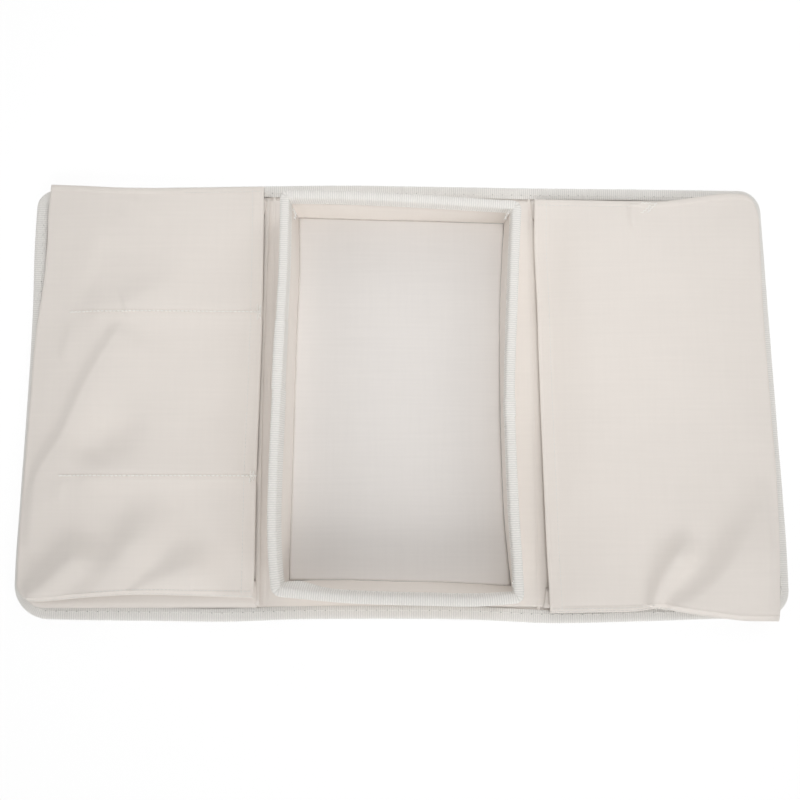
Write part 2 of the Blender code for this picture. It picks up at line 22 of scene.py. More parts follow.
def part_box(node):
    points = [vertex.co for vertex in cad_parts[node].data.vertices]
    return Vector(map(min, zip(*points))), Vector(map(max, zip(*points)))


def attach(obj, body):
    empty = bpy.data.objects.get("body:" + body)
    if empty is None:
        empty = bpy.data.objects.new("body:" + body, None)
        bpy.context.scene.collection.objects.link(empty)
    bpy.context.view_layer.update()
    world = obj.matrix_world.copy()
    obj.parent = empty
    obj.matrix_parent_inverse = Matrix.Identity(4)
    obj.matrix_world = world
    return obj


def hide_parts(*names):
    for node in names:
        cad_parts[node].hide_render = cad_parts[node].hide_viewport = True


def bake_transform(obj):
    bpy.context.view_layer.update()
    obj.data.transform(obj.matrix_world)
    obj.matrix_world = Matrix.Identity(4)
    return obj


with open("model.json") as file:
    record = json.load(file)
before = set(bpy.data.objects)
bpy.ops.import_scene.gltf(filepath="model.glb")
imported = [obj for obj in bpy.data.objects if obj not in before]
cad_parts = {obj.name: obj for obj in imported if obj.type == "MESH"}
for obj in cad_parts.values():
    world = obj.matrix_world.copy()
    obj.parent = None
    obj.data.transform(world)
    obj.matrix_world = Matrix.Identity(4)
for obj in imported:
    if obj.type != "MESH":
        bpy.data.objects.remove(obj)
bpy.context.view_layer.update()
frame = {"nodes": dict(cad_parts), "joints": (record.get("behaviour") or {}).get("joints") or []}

LOG = logging.getLogger("organizer")
Array = np.ndarray
Point = tuple[float, float]
Pairs = tuple[Point, ...]
Edge = Callable[[Array], Array]
MM = 0.001
RIB_PITCH = 1.71 * MM
NUDGE = 1e-3


class Side(Enum):
    """The two flaps, by the sign of their x."""

    LEFT = -1
    RIGHT = 1

    @property
    def word(self) -> str:
        """The side's name as it stands in piece and body names."""
        return self.name.lower()


class Slot(Enum):
    """The record's material slots."""

    CLOTH = "pocket_cloth"
    FLOOR = "tray_floor_cloth"
    TAPE = "grosgrain_tape"
    THREAD = "sewing_thread"
    BOARD = "stiffener_board"


class Held(Enum):
    """How a sheet of cloth is held."""

    LAID = "laid"
    FOLDED = "folded"
    STRETCHED = "stretched"


# Lines and shapes


def ease(share: Array) -> Array:
    """Smooth step from 0 to 1 as share goes from 0 to 1."""
    share = np.clip(share, 0.0, 1.0)
    return share * share * (3 - 2 * share)


def bell(distance: Array, width: float | Array) -> Array:
    """Rounded bump of height 1 and the given half width."""
    return np.exp(-((distance / width) ** 2))


def hermite(places: Array, values: Array, place: Array) -> Array:
    """Smooth interpolation through known values.

    Args:
        places: Rising places, one for each row of values.
        values: Values at those places, with any number of columns.
        place: Where to read the curve.

    Returns:
        The values at each place, with the columns last.
    """
    slopes = np.gradient(values, places, axis=0)
    place = np.clip(place, places[0], places[-1])
    i = np.clip(np.searchsorted(places, place) - 1, 0, len(places) - 2)
    step = (places[i + 1] - places[i])[..., None]
    t = (place - places[i])[..., None] / step
    return (
        (2 * t**3 - 3 * t**2 + 1) * values[i]
        + (t**3 - 2 * t**2 + t) * step * slopes[i]
        + (3 * t**2 - 2 * t**3) * values[i + 1]
        + (t**3 - t**2) * step * slopes[i + 1]
    )


def run_along(points: Array) -> Array:
    """How far along a line each of its points lies."""
    steps = np.linalg.norm(np.diff(points, axis=0), axis=1)
    return np.concatenate([[0.0], np.cumsum(steps)])


def joined(*parts: Array | float) -> Array:
    """Points from their coordinates, each an array or a number, with the coordinates last."""
    return np.stack(np.broadcast_arrays(*parts), -1)


def at_height(plan: Array, z: Array | float) -> Array:
    """Points from plan points and their heights."""
    return joined(plan[..., 0], plan[..., 1], z)


def unit(rows: Array) -> Array:
    """Each vector at length 1."""
    return rows / np.maximum(np.linalg.norm(rows, axis=-1, keepdims=True), 1e-12)


def right_of(way: Array) -> Array:
    """Each plan direction turned a quarter to its right."""
    return joined(way[..., 1], -way[..., 0])


def uneven(place: Array, *waves: tuple[float, float]) -> Array:
    """Gentle unevenness along a line.

    Args:
        place: Places along it, in metres.
        *waves: For each wave its height, and its length over 2 pi, in millimetres.

    Returns:
        The offset at each place, in metres.
    """
    return sum(height * MM * np.sin(place / (length * MM)) for height, length in waves)


@dataclass(frozen=True)
class Profile:
    """A smooth value along one axis, from (place, value) pairs in millimetres."""

    pairs: Pairs

    def at(self, place: Array) -> Array:
        """Value in metres at each place in metres."""
        rows = np.array(sorted(self.pairs)) * MM
        return hermite(rows[:, 0], rows[:, 1:], np.asarray(place, float))[..., 0]


@dataclass(frozen=True)
class Line:
    """A smooth line on the plan, through (x, y) points in millimetres."""

    points: Pairs

    def at(self, share: Array) -> Array:
        """Plan points in metres at shares of the line's length."""
        rows = np.array(self.points) * MM
        run = run_along(rows)
        return hermite(run / run[-1], rows, np.asarray(share, float))

    @property
    def length(self) -> float:
        """Length of the line in metres."""
        return float(run_along(self.at(np.linspace(0, 1, 200)))[-1])


@dataclass(frozen=True)
class Spacing:
    """How closely a surface is cut: coarsely, and finely within a reach of what needs detail."""

    coarse: float
    fine: float = 0.0
    reach: float = 0.0

    def stations(self, start: float, stop: float, *places: float) -> Array:
        """Places to cut a surface at.

        Args:
            start: First place.
            stop: Last place.
            *places: Where the detail is.

        Returns:
            Rising places from start to stop.
        """
        rows = [np.linspace(start, stop, max(2, round((stop - start) / self.coarse) + 1))]
        rows += [np.arange(p - self.reach, p + self.reach, self.fine) for p in places]
        found = np.sort(np.concatenate(rows))
        found = found[(found >= start) & (found <= stop)]
        least = 0.45 * (self.fine or self.coarse)
        kept = [start]
        for place in found[1:]:
            if place - kept[-1] > least:
                kept.append(float(place))
        kept[-1] = stop
        return np.array(kept)


def patch(u: Array, v: Array, sides: tuple[Edge, Edge], ends: tuple[Edge, Edge]) -> Array:
    """Plan points between four lines.

    Args:
        u: From 0 at the first side to 1 at the second.
        v: From 0 at the first end to 1 at the second.
        sides: The lines at u = 0 and at u = 1, by v.
        ends: The lines at v = 0 and at v = 1, by u.

    Returns:
        One plan point for each pair.
    """
    a, b = u[..., None], v[..., None]
    between = ends[0](u) * (1 - b) + ends[1](u) * b + sides[0](v) * (1 - a) + sides[1](v) * a
    for end, share_v in zip(ends, (1 - b, b)):
        first, last = end(np.array([0.0, 1.0]))
        between = between - (first * (1 - a) + last * a) * share_v
    return between


def surface_normals(grid: Array) -> Array:
    """Unit normals of a grid of points that faces mostly upwards."""
    normals = unit(np.cross(np.gradient(grid, axis=0), np.gradient(grid, axis=1)))
    return normals * (1.0 if normals[..., 2].mean() > 0 else -1.0)


def inner_side(outer: Array, centre: tuple[float, float], thickness: float) -> Array:
    """The inner side of a section.

    Args:
        outer: The section's outer side.
        centre: A point that the section turns round.
        thickness: How far in the inner side lies.

    Returns:
        The matching points on the inner side.
    """
    normal = unit(right_of(np.gradient(outer, axis=0)))
    inward = np.sign(((np.array(centre) - outer) * normal).sum(1, keepdims=True))
    return outer + normal * inward * thickness


def softened(points: Array, spread: float, closed: bool) -> Array:
    """Rounds the corners of an evenly spaced line.

    Args:
        points: The line, in even steps.
        spread: How many steps the rounding reaches.
        closed: Whether the last point joins the first.

    Returns:
        The rounded line.
    """
    reach = int(3 * spread)
    weights = np.exp(-0.5 * (np.arange(-reach, reach + 1) / spread) ** 2)
    weights /= weights.sum()
    if closed:
        padded = np.concatenate([points[-reach:], points, points[:reach]])
    else:
        head = 2 * points[0] - points[reach:0:-1]
        tail = 2 * points[-1] - points[-2 : -reach - 2 : -1]
        padded = np.concatenate([head, points, tail])
    return np.stack([np.convolve(column, weights, "valid") for column in padded.T], axis=1)


def evenly(points: Array, count: int, closed: bool) -> Array:
    """The same line cut into even steps.

    Args:
        points: The line.
        count: How many points to give.
        closed: Whether the last point joins the first.

    Returns:
        The evenly spaced points; a closed line doesn't repeat its first.
    """
    rows = np.concatenate([points, points[:1]]) if closed else points
    run = run_along(rows)
    places = np.linspace(0, run[-1], count + 1)[:-1] if closed else np.linspace(0, run[-1], count)
    return np.stack([np.interp(places, run, column) for column in rows.T], axis=1)


# Meshes


def placed(name: str, data: bpy.types.ID) -> bpy.types.Object:
    """A new object in the scene, with the data that it shows."""
    thing = bpy.data.objects.new(name, data)
    bpy.context.scene.collection.objects.link(thing)
    return thing


def mesh_object(name: str, vertices: Array, faces: Array, uvs: Array,
                attributes: dict[str, Array]) -> bpy.types.Object:
    """Makes a smooth closed mesh object whose faces point outwards.

    Args:
        name: Name of the object and its mesh.
        vertices: Points, one row each.
        faces: Four vertex numbers for each face.
        uvs: One UV for each corner of each face.
        attributes: A number for each vertex, by name.

    Returns:
        The new object, in the scene.
    """
    a, b, c, d = (vertices[faces[:, k]] for k in range(4))
    volume = (np.einsum("ij,ij->i", a, np.cross(b, c)) + np.einsum("ij,ij->i", a, np.cross(c, d))).sum()
    if volume < 0:
        faces, uvs = faces[:, ::-1], uvs[:, ::-1]
    mesh = bpy.data.meshes.new(name)
    mesh.from_pydata(vertices.tolist(), [], faces.tolist())
    mesh.polygons.foreach_set("use_smooth", np.ones(len(faces), bool))
    mesh.uv_layers.new(name="UVMap").data.foreach_set("uv", uvs.astype(np.float32).ravel())
    for key, values in attributes.items():
        layer = mesh.attributes.new(key, "FLOAT", "POINT")
        layer.data.foreach_set("value", values.astype(np.float32))
    mesh.update()
    return placed(name, mesh)


def double_skin(name: str, outer: Array, inner: Array, uv: Array, ring: bool = False,
                attributes: dict[str, tuple[Array | float, Array | float]] | None = None) -> bpy.types.Object:
    """Closes two matching grids of points into one solid.

    Args:
        name: Name of the piece.
        outer: Rows by columns of points on one skin.
        inner: The matching points on the other skin.
        uv: UVs for each row and column; a ring has one row more.
        ring: Whether the last row joins the first.
        attributes: For each name, the values on the outer and on the inner skin.

    Returns:
        The closed piece.
    """
    rows, columns = outer.shape[:2]
    width = 2 * columns
    loop = np.concatenate([outer, inner[:, ::-1]], axis=1)
    uv_loop = np.concatenate([uv, uv[:, ::-1]], axis=1).reshape(-1, 2)
    r = np.arange(rows if ring else rows - 1)[:, None] * width
    c = np.arange(width)[None, :]
    after = (c + 1) % width
    corners = np.stack([r + c, r + after, r + width + after, r + width + c], axis=-1).reshape(-1, 4)
    if not ring:
        k = np.arange(columns - 1)
        cap = np.stack([k, k + 1, width - 2 - k, width - 1 - k], axis=-1)
        corners = np.concatenate([corners, cap[:, ::-1], cap + (rows - 1) * width])
    made = {}
    for key, (on_outer, on_inner) in (attributes or {}).items():
        skins = [np.broadcast_to(v, (rows, columns)) for v in (on_outer, on_inner)]
        made[key] = np.concatenate([skins[0], skins[1][:, ::-1]], axis=1).ravel()
    return mesh_object(name, loop.reshape(-1, 3), corners % (rows * width), uv_loop[corners], made)


def cloth_sheet(name: str, top: Array, thickness: float | Array, uv: Array,
                ring: bool = False) -> bpy.types.Object:
    """Closes a grid of points into a sheet of cloth.

    Args:
        name: Name of the piece.
        top: Points on the upper face.
        thickness: Thickness of the cloth, or one for each point.
        uv: UVs for each point.
        ring: Whether the last row joins the first.

    Returns:
        The closed piece.
    """
    depth = np.broadcast_to(thickness, top.shape[:2])[..., None]
    return double_skin(name, top, top - surface_normals(top) * depth, uv, ring)


def baked(piece: bpy.types.Object) -> bpy.types.Object:
    """Turns what the piece's modifiers make into its own plain mesh, and removes them."""
    graph = bpy.context.evaluated_depsgraph_get()
    mesh = bpy.data.meshes.new_from_object(
        piece.evaluated_get(graph), preserve_all_data_layers=True, depsgraph=graph
    )
    old = piece.data
    piece.modifiers.clear()
    piece.data = mesh
    mesh.name = piece.name
    bpy.data.meshes.remove(old)
    return piece


# Node graphs


def both_ways(operation: str) -> tuple[Callable[..., Value], Callable[..., Value]]:
    """Makes the methods for an operator and for its reflected form.

    Args:
        operation: The maths node's operation.

    Returns:
        A method that adds the node with the socket as its first term, and one with it as the second.
    """

    def forward(value: Value, other: object) -> Value:
        """The socket, then the other term."""
        return value.combined(operation, value, other)

    def reflected(value: Value, other: object) -> Value:
        """The other term, then the socket."""
        return value.combined(operation, other, value)

    return forward, reflected


class Value:
    """A socket that takes part in expressions, which add their own maths nodes."""

    __add__, __radd__ = both_ways("ADD")
    __sub__, __rsub__ = both_ways("SUBTRACT")
    __mul__, __rmul__ = both_ways("MULTIPLY")
    __truediv__, __rtruediv__ = both_ways("DIVIDE")
    __mod__, __rmod__ = both_ways("FLOORED_MODULO")

    def __init__(self, graph: Graph, socket: bpy.types.NodeSocket) -> None:
        """Wraps a node's output socket."""
        self.graph = graph
        self.socket = socket

    @property
    def is_vector(self) -> bool:
        """Whether the socket carries a vector or a colour."""
        return self.socket.type in {"VECTOR", "RGBA"}

    def combined(self, operation: str, first: object, second: object) -> Value:
        """One maths node on two terms, on vectors where either term is one."""
        vector = any(isinstance(term, Value) and term.is_vector for term in (first, second))
        kind = "ShaderNodeVectorMath" if vector else "ShaderNodeMath"
        return self.graph.value(kind, {"operation": operation}, {0: first, 1: second})

    def __abs__(self) -> Value:
        """Size without sign."""
        return self.graph.value("ShaderNodeMath", {"operation": "ABSOLUTE"}, {0: self})

    def sine(self) -> Value:
        """Sine of an angle in radians."""
        return self.graph.value("ShaderNodeMath", {"operation": "SINE"}, {0: self})

    def most(self, other: object) -> Value:
        """The larger of the two."""
        return self.combined("MAXIMUM", self, other)


class Graph:
    """Builds the nodes of a material or of a geometry tree."""

    def __init__(self, tree: bpy.types.NodeTree) -> None:
        """Starts on a tree, and takes out what is in it."""
        self.tree = tree
        tree.nodes.clear()

    def node(self, kind: str, settings: dict[str, object] | None = None,
             inputs: dict[int | str, object] | None = None) -> bpy.types.Node:
        """Adds one node.

        Args:
            kind: The node's type.
            settings: Properties, which are set first.
            inputs: A number, a vector or a Value for each input, by name or place.

        Returns:
            The node.
        """
        node = self.tree.nodes.new(kind)
        for key, setting in (settings or {}).items():
            setattr(node, key, setting)
        for key, given in (inputs or {}).items():
            if isinstance(given, Value):
                self.tree.links.new(given.socket, node.inputs[key])
            else:
                node.inputs[key].default_value = given
        return node

    def value(self, kind: str, settings: dict[str, object] | None = None,
              inputs: dict[int | str, object] | None = None, output: int | str = 0) -> Value:
        """Adds one node and gives one of its outputs."""
        return Value(self, self.node(kind, settings, inputs).outputs[output])

    def vector(self, *parts: object) -> Value:
        """A vector of three numbers or values."""
        return self.value("ShaderNodeCombineXYZ", {}, dict(enumerate(parts)))

    def flat_place(self) -> tuple[Value, Value, Value]:
        """The piece's own UV place, whole and as its two coordinates."""
        place = self.value("ShaderNodeUVMap", {"uv_map": "UVMap"})
        parts = self.node("ShaderNodeSeparateXYZ", {}, {0: place})
        return place, Value(self, parts.outputs[0]), Value(self, parts.outputs[1])

    def noise(self, place: Value, scale: float, detail: float = 2.0,
              stretch: tuple[float, float, float] = (1.0, 1.0, 1.0)) -> Value:
        """Fractal noise from 0 to 1 over a place, finer along the axes with a larger stretch."""
        inputs = {"Vector": place * Vector(stretch), "Scale": scale, "Detail": detail}
        return self.value("ShaderNodeTexNoise", {"noise_dimensions": "3D"}, inputs)

    def mixed(self, share: Value, first: object, second: object) -> Value:
        """A colour between two, by share, which may go below 0 for a darker one."""
        settings = {"data_type": "RGBA", "clamp_factor": False}
        return self.value("ShaderNodeMix", settings, {0: share, 6: first, 7: second}, 2)

    def attribute(self, name: str, kind: str = "FLOAT") -> Value:
        """A named attribute of the geometry."""
        return self.value("GeometryNodeInputNamedAttribute", {"data_type": kind}, {"Name": name})

    def moved(self, geometry: Value, offset: Value) -> Value:
        """The geometry with its points moved."""
        return self.value("GeometryNodeSetPosition", {}, {"Geometry": geometry, "Offset": offset})


# Finishes


@dataclass(frozen=True)
class Finish:
    """A material of the organizer: its colour, and what its surface is made of."""

    slot: Slot
    colour: tuple[float, float, float]
    shade: float
    roughness: float
    sheen: float
    relief: float

    def pattern(self, graph: Graph) -> tuple[Value, Value]:
        """The surface's height and its lightness, both from 0 to 1."""
        raise NotImplementedError

    def build(self) -> bpy.types.Material:
        """Makes the material.

        Returns:
            The material, named for its slot.
        """
        material = bpy.data.materials.new(self.slot.value)
        material.use_nodes = True
        graph = Graph(material.node_tree)
        height, light = self.pattern(graph)
        dark = tuple(part * self.shade for part in self.colour)
        colour = graph.mixed(light, (*dark, 1.0), (*self.colour, 1.0))
        bump = graph.value(
            "ShaderNodeBump", {}, {"Strength": 1.0, "Distance": self.relief, "Height": height}
        )
        shader = graph.value(
            "ShaderNodeBsdfPrincipled", {},
            {
                "Base Color": colour,
                "Roughness": self.roughness + (1 - height) * 0.1,
                "Specular IOR Level": 0.25,
                "Sheen Weight": self.sheen,
                "Sheen Roughness": 0.5,
                "Normal": bump,
            },
        )
        graph.node("ShaderNodeOutputMaterial", {}, {"Surface": shader})
        return material


@dataclass(frozen=True)
class Weave(Finish):
    """Plain woven cloth with slightly uneven yarns.

    The streaks and clouds are how often the noise changes in a metre, across and along the cloth.
    """

    pitch: float
    slub: float
    weft_streaks: tuple[float, float, float] = (16.0, 420.0, 1.0)
    warp_streaks: tuple[float, float, float] = (360.0, 20.0, 1.0)
    clouds: tuple[float, float, float] = (16.0, 16.0, 1.0)

    def pattern(self, graph: Graph) -> tuple[Value, Value]:
        """Yarns that pass over and under each other, with thick and thin places. The yarns' tops are painted
        lighter and the gaps between them darker, as painted shade.
        """
        place, across, along = graph.flat_place()
        warp = (across * (math.pi / self.pitch)).sine()
        weft = (along * (math.pi / self.pitch)).sine()
        over = warp * weft * 0.5 + 0.5
        height = abs(warp) * over + abs(weft) * (1 - over)
        rows = graph.noise(place, 1.0, 1.0, self.weft_streaks)
        ends = graph.noise(place, 1.0, 1.0, self.warp_streaks)
        cloud = graph.noise(place, 1.0, 2.0, self.clouds)
        slubs = ((rows - 0.5) + (ends - 0.5) * 0.6) * self.slub
        # height * 0.2 is painted shade: lighter on the yarns' tops, darker in the gaps between them. The
        # slubs and clouds are the yarns' own uneven tone.
        return height, height * 0.2 + slubs + (cloud - 0.5) * 0.15 + 0.5


@dataclass(frozen=True)
class Grosgrain(Finish):
    """Ribbed tape: fine warp yarns over thick ribs that are in the mesh."""

    yarn: float
    rib: float
    slubs: tuple[float, float, float] = (500.0, 60.0, 1.0)

    def pattern(self, graph: Graph) -> tuple[Value, Value]:
        """Fine yarns that run along the tape, with painted shade down in the grooves between the ribs and in
        the gaps between the yarns.
        """
        place, along, across = graph.flat_place()
        height = abs((across * (math.pi / self.yarn)).sine())
        wave = (along * (math.pi / self.rib)).sine()
        lattice = wave * (across * (math.pi / self.rib)).sine()
        slub = graph.noise(place, 1.0, 2.0, self.slubs)
        # abs(wave) paints shade in the grooves between the ribs, and height * 0.1 paints the yarns' tops
        # lighter. The lattice and slubs are the tape's own pattern and tone.
        return height, abs(wave) * 0.65 + lattice * 0.05 + height * 0.1 + slub * 0.25


@dataclass(frozen=True)
class Thread(Finish):
    """Twisted polyester thread, and the painted shade of the needle holes it goes down into."""

    twist: float
    # hole is how strongly the hole attribute darkens the colour: painted shade on the needle-hole beads.
    hole: float
    fuzz: float = 2500.0

    def pattern(self, graph: Graph) -> tuple[Value, Value]:
        """Plies that wind round the stitch, with a little fuzz. The plies' tops are painted lighter as
        painted shade, and the hole attribute paints the needle holes dark.
        """
        place = graph.value("ShaderNodeTexCoord", {}, {}, "Object")
        fuzz = graph.noise(place, self.fuzz)
        plies = graph.value(
            "ShaderNodeTexWave", {"wave_type": "BANDS", "bands_direction": "DIAGONAL"},
            {"Vector": place, "Scale": self.twist, "Distortion": 1.0, "Detail": 1.0}, 1,
        )
        hole = graph.value("ShaderNodeAttribute", {"attribute_name": "hole"}, {}, "Fac")
        # plies * 0.5 is painted shade on the plies. The hole attribute gives the full painted shade of the
        # needle holes on their beads, and the thread's tone on the stitches.
        return plies * 0.7 + fuzz * 0.3, plies * 0.5 + fuzz * 0.5 - hole * self.hole


@dataclass(frozen=True)
class Board(Finish):
    """Grey fibre board inside the covers."""

    fibre: float
    clumps: float = 40.0

    def pattern(self, graph: Graph) -> tuple[Value, Value]:
        """Pressed fibres of all lengths."""
        place = graph.value("ShaderNodeTexCoord", {}, {}, "Object")
        fine = graph.noise(place, self.fibre, 4.0, (1.0, 3.0, 1.0))
        return fine, fine * 0.7 + graph.noise(place, self.clumps, 3.0) * 0.3


FINISHES = (
    Weave(Slot.CLOTH, (0.834, 0.778, 0.725), 0.90, 0.82, 0.10, 0.10 * MM, pitch=0.62 * MM, slub=0.38),
    Weave(Slot.FLOOR, (0.778, 0.742, 0.711), 0.90, 0.82, 0.10, 0.10 * MM, pitch=0.62 * MM, slub=0.45),
    Grosgrain(Slot.TAPE, (0.900, 0.877, 0.838), 0.70, 0.62, 0.12, 0.06 * MM, yarn=0.34 * MM, rib=RIB_PITCH),
    Thread(Slot.THREAD, (0.95, 0.93, 0.89), 0.86, 0.50, 0.10, 0.05 * MM, twist=900.0, hole=4.0),
    Board(Slot.BOARD, (0.56, 0.55, 0.53), 0.85, 0.80, 0.0, 0.08 * MM, fibre=700.0),
)


# Repeated shapes


class RepeatTree:
    """A geometry tree with named inputs, used by a modifier on each piece that needs it."""

    def __init__(self, name: str) -> None:
        """Makes the empty tree and its geometry sockets."""
        self.tree = bpy.data.node_groups.new(name, "GeometryNodeTree")
        self.graph = Graph(self.tree)
        self.keys: dict[str, str] = {}
        self._socket("Geometry", "NodeSocketGeometry")
        self.tree.interface.new_socket("Geometry", in_out="OUTPUT", socket_type="NodeSocketGeometry")

    def _socket(self, name: str, kind: str) -> None:
        """Adds one named input."""
        item = self.tree.interface.new_socket(name, in_out="INPUT", socket_type=kind)
        self.keys[name] = item.identifier

    def sizes(self, *names: str) -> dict[str, Value]:
        """Adds number inputs and a material input, and gives every input by name."""
        for name in names:
            self._socket(name, "NodeSocketFloat")
        self._socket("Material", "NodeSocketMaterial")
        start = self.graph.node("NodeGroupInput")
        return {name: Value(self.graph, start.outputs[name]) for name in self.keys}

    def end(self, geometry: Value, material: Value) -> None:
        """Realizes the instances, sets the material and joins the output."""
        real = self.graph.value("GeometryNodeRealizeInstances", {}, {0: geometry})
        smooth = self.graph.value("GeometryNodeSetShadeSmooth", {}, {0: real})
        dressed = self.graph.value(
            "GeometryNodeSetMaterial", {}, {"Geometry": smooth, "Material": material}
        )
        self.graph.node("NodeGroupOutput", {}, {0: dressed})

    def apply(self, piece: bpy.types.Object, material: bpy.types.Material,
              **sizes: float) -> bpy.types.Object:
        """Runs the tree on a piece and keeps the plain result.

        Args:
            piece: The mesh the tree starts from.
            material: Finish for the result.
            **sizes: The tree's number inputs, by name.

        Returns:
            The same piece with its final mesh.
        """
        modifier = piece.modifiers.new(self.tree.name, "NODES")
        modifier.node_group = self.tree
        modifier[self.keys["Material"]] = material
        for name, size in sizes.items():
            modifier[self.keys[name]] = float(size)
        return baked(piece)


class RibTree(RepeatTree):
    """Raises ribs across a tape, from how far along it each point lies."""

    def __init__(self) -> None:
        """Builds the tree."""
        super().__init__("tape_ribs")
        given = self.sizes("Pitch", "Height")
        graph = self.graph
        wave = abs((graph.attribute("along") * math.pi / given["Pitch"]).sine())
        lift = wave * graph.attribute("ribs") * given["Height"]
        offset = graph.value("GeometryNodeInputNormal") * lift
        self.end(graph.moved(given["Geometry"], offset), given["Material"])


class StitchTree(RepeatTree):
    """Sews evenly spaced stitches along the edges of a line mesh, with a dark bead of painted shade for the
    needle hole between each two.
    """

    def __init__(self) -> None:
        """Builds the tree."""
        super().__init__("sewn_stitches")
        given = self.sizes("Pitch", "Length", "Width", "Lift", "Swing", "Hole", "Tone")
        graph = self.graph
        curve = graph.value("GeometryNodeMeshToCurve", {}, {0: given["Geometry"]})
        spacing = {"Curve": curve, "Length": given["Pitch"]}
        spaced = graph.value("GeometryNodeResampleCurve", {"mode": "LENGTH"}, spacing)
        points = graph.node("GeometryNodeCurveToPoints", {"mode": "EVALUATED"}, {0: spaced})
        middles = Value(graph, points.outputs["Points"])
        along = Value(graph, points.outputs["Tangent"])
        face = graph.attribute("face", "FLOAT_VECTOR")
        axes = {"primary_axis": "X", "secondary_axis": "Z"}
        facing = graph.value("FunctionNodeAxesToRotation", axes, {0: along, 1: face})
        parity = graph.value("GeometryNodeInputIndex") % 2.0 * 2.0 - 1.0
        turn = graph.vector(0.0, 0.0, parity * given["Swing"])
        turned = graph.value("FunctionNodeEulerToRotation", {}, {0: turn})
        local = {"rotation_space": "LOCAL"}
        swung = graph.value("FunctionNodeRotateRotation", local, {0: facing, 1: turned})
        between = graph.moved(middles, along * (given["Pitch"] * 0.5))
        raised = graph.moved(middles, face * given["Lift"])
        pit = graph.vector(given["Hole"] * 1.4, given["Hole"], given["Hole"] * 0.4)
        thread = graph.vector(given["Length"], given["Width"], given["Width"])
        both = graph.node("GeometryNodeJoinGeometry")
        # The holes are dark beads that paint the shade of the needle holes.
        holes = self._beads(between, facing, pit, 1.0)
        sewn = self._beads(raised, swung, thread, given["Tone"])
        for part in (holes, sewn):
            graph.tree.links.new(part.socket, both.inputs[0])
        self.end(Value(graph, both.outputs[0]), given["Material"])

    def _beads(self, points: Value, turn: Value, size: Value, tone: object) -> Value:
        """A stretched bead on each point, which carries how dark it is to the thread's material: full painted
        shade for a needle hole, the thread's tone for a stitch.
        """
        bead = self.graph.value(
            "GeometryNodeMeshUVSphere", {}, {"Segments": 6, "Rings": 4, "Radius": 0.5}
        )
        toned = self.graph.value(
            "GeometryNodeStoreNamedAttribute", {"data_type": "FLOAT", "domain": "POINT"},
            {"Geometry": bead, "Name": "hole", "Value": tone},
        )
        return self.graph.value(
            "GeometryNodeInstanceOnPoints", {},
            {"Points": points, "Instance": toned, "Rotation": turn, "Scale": size},
        )


# Workshop


@dataclass(frozen=True)
class Sewing:
    """How a row of stitches looks."""

    pitch: float
    length: float
    width: float
    swing: float = 0.0
    lift: float = 0.00008
    # hole is the size of the dark bead that paints a needle hole's shade.
    hole: float = 0.0
    tone: float = 0.0


TOPSTITCH = Sewing(0.0030, 0.0029, 0.00060, lift=0.00002, tone=0.24)
DIVIDER_STITCH = Sewing(0.0032, 0.0031, 0.00125, lift=0.00040, hole=0.00015)
BARTACK = Sewing(0.0014, 0.0028, 0.00070, swing=0.8)
EDGE_STITCH = Sewing(0.0079, 0.0072, 0.00060, hole=0.00070, tone=0.05)
TUFT_STITCH = Sewing(0.0011, 0.0030, 0.00060, swing=0.9, hole=0.00060)
RIM_STITCH = Sewing(0.0040, 0.0037, 0.00050, hole=0.00040)
SEAM_STITCH = Sewing(0.0032, 0.0029, 0.00045, hole=0.00030, tone=0.2)
MOUTH_TACK = Sewing(0.0013, 0.0024, 0.00080, swing=0.7, lift=0.00020)


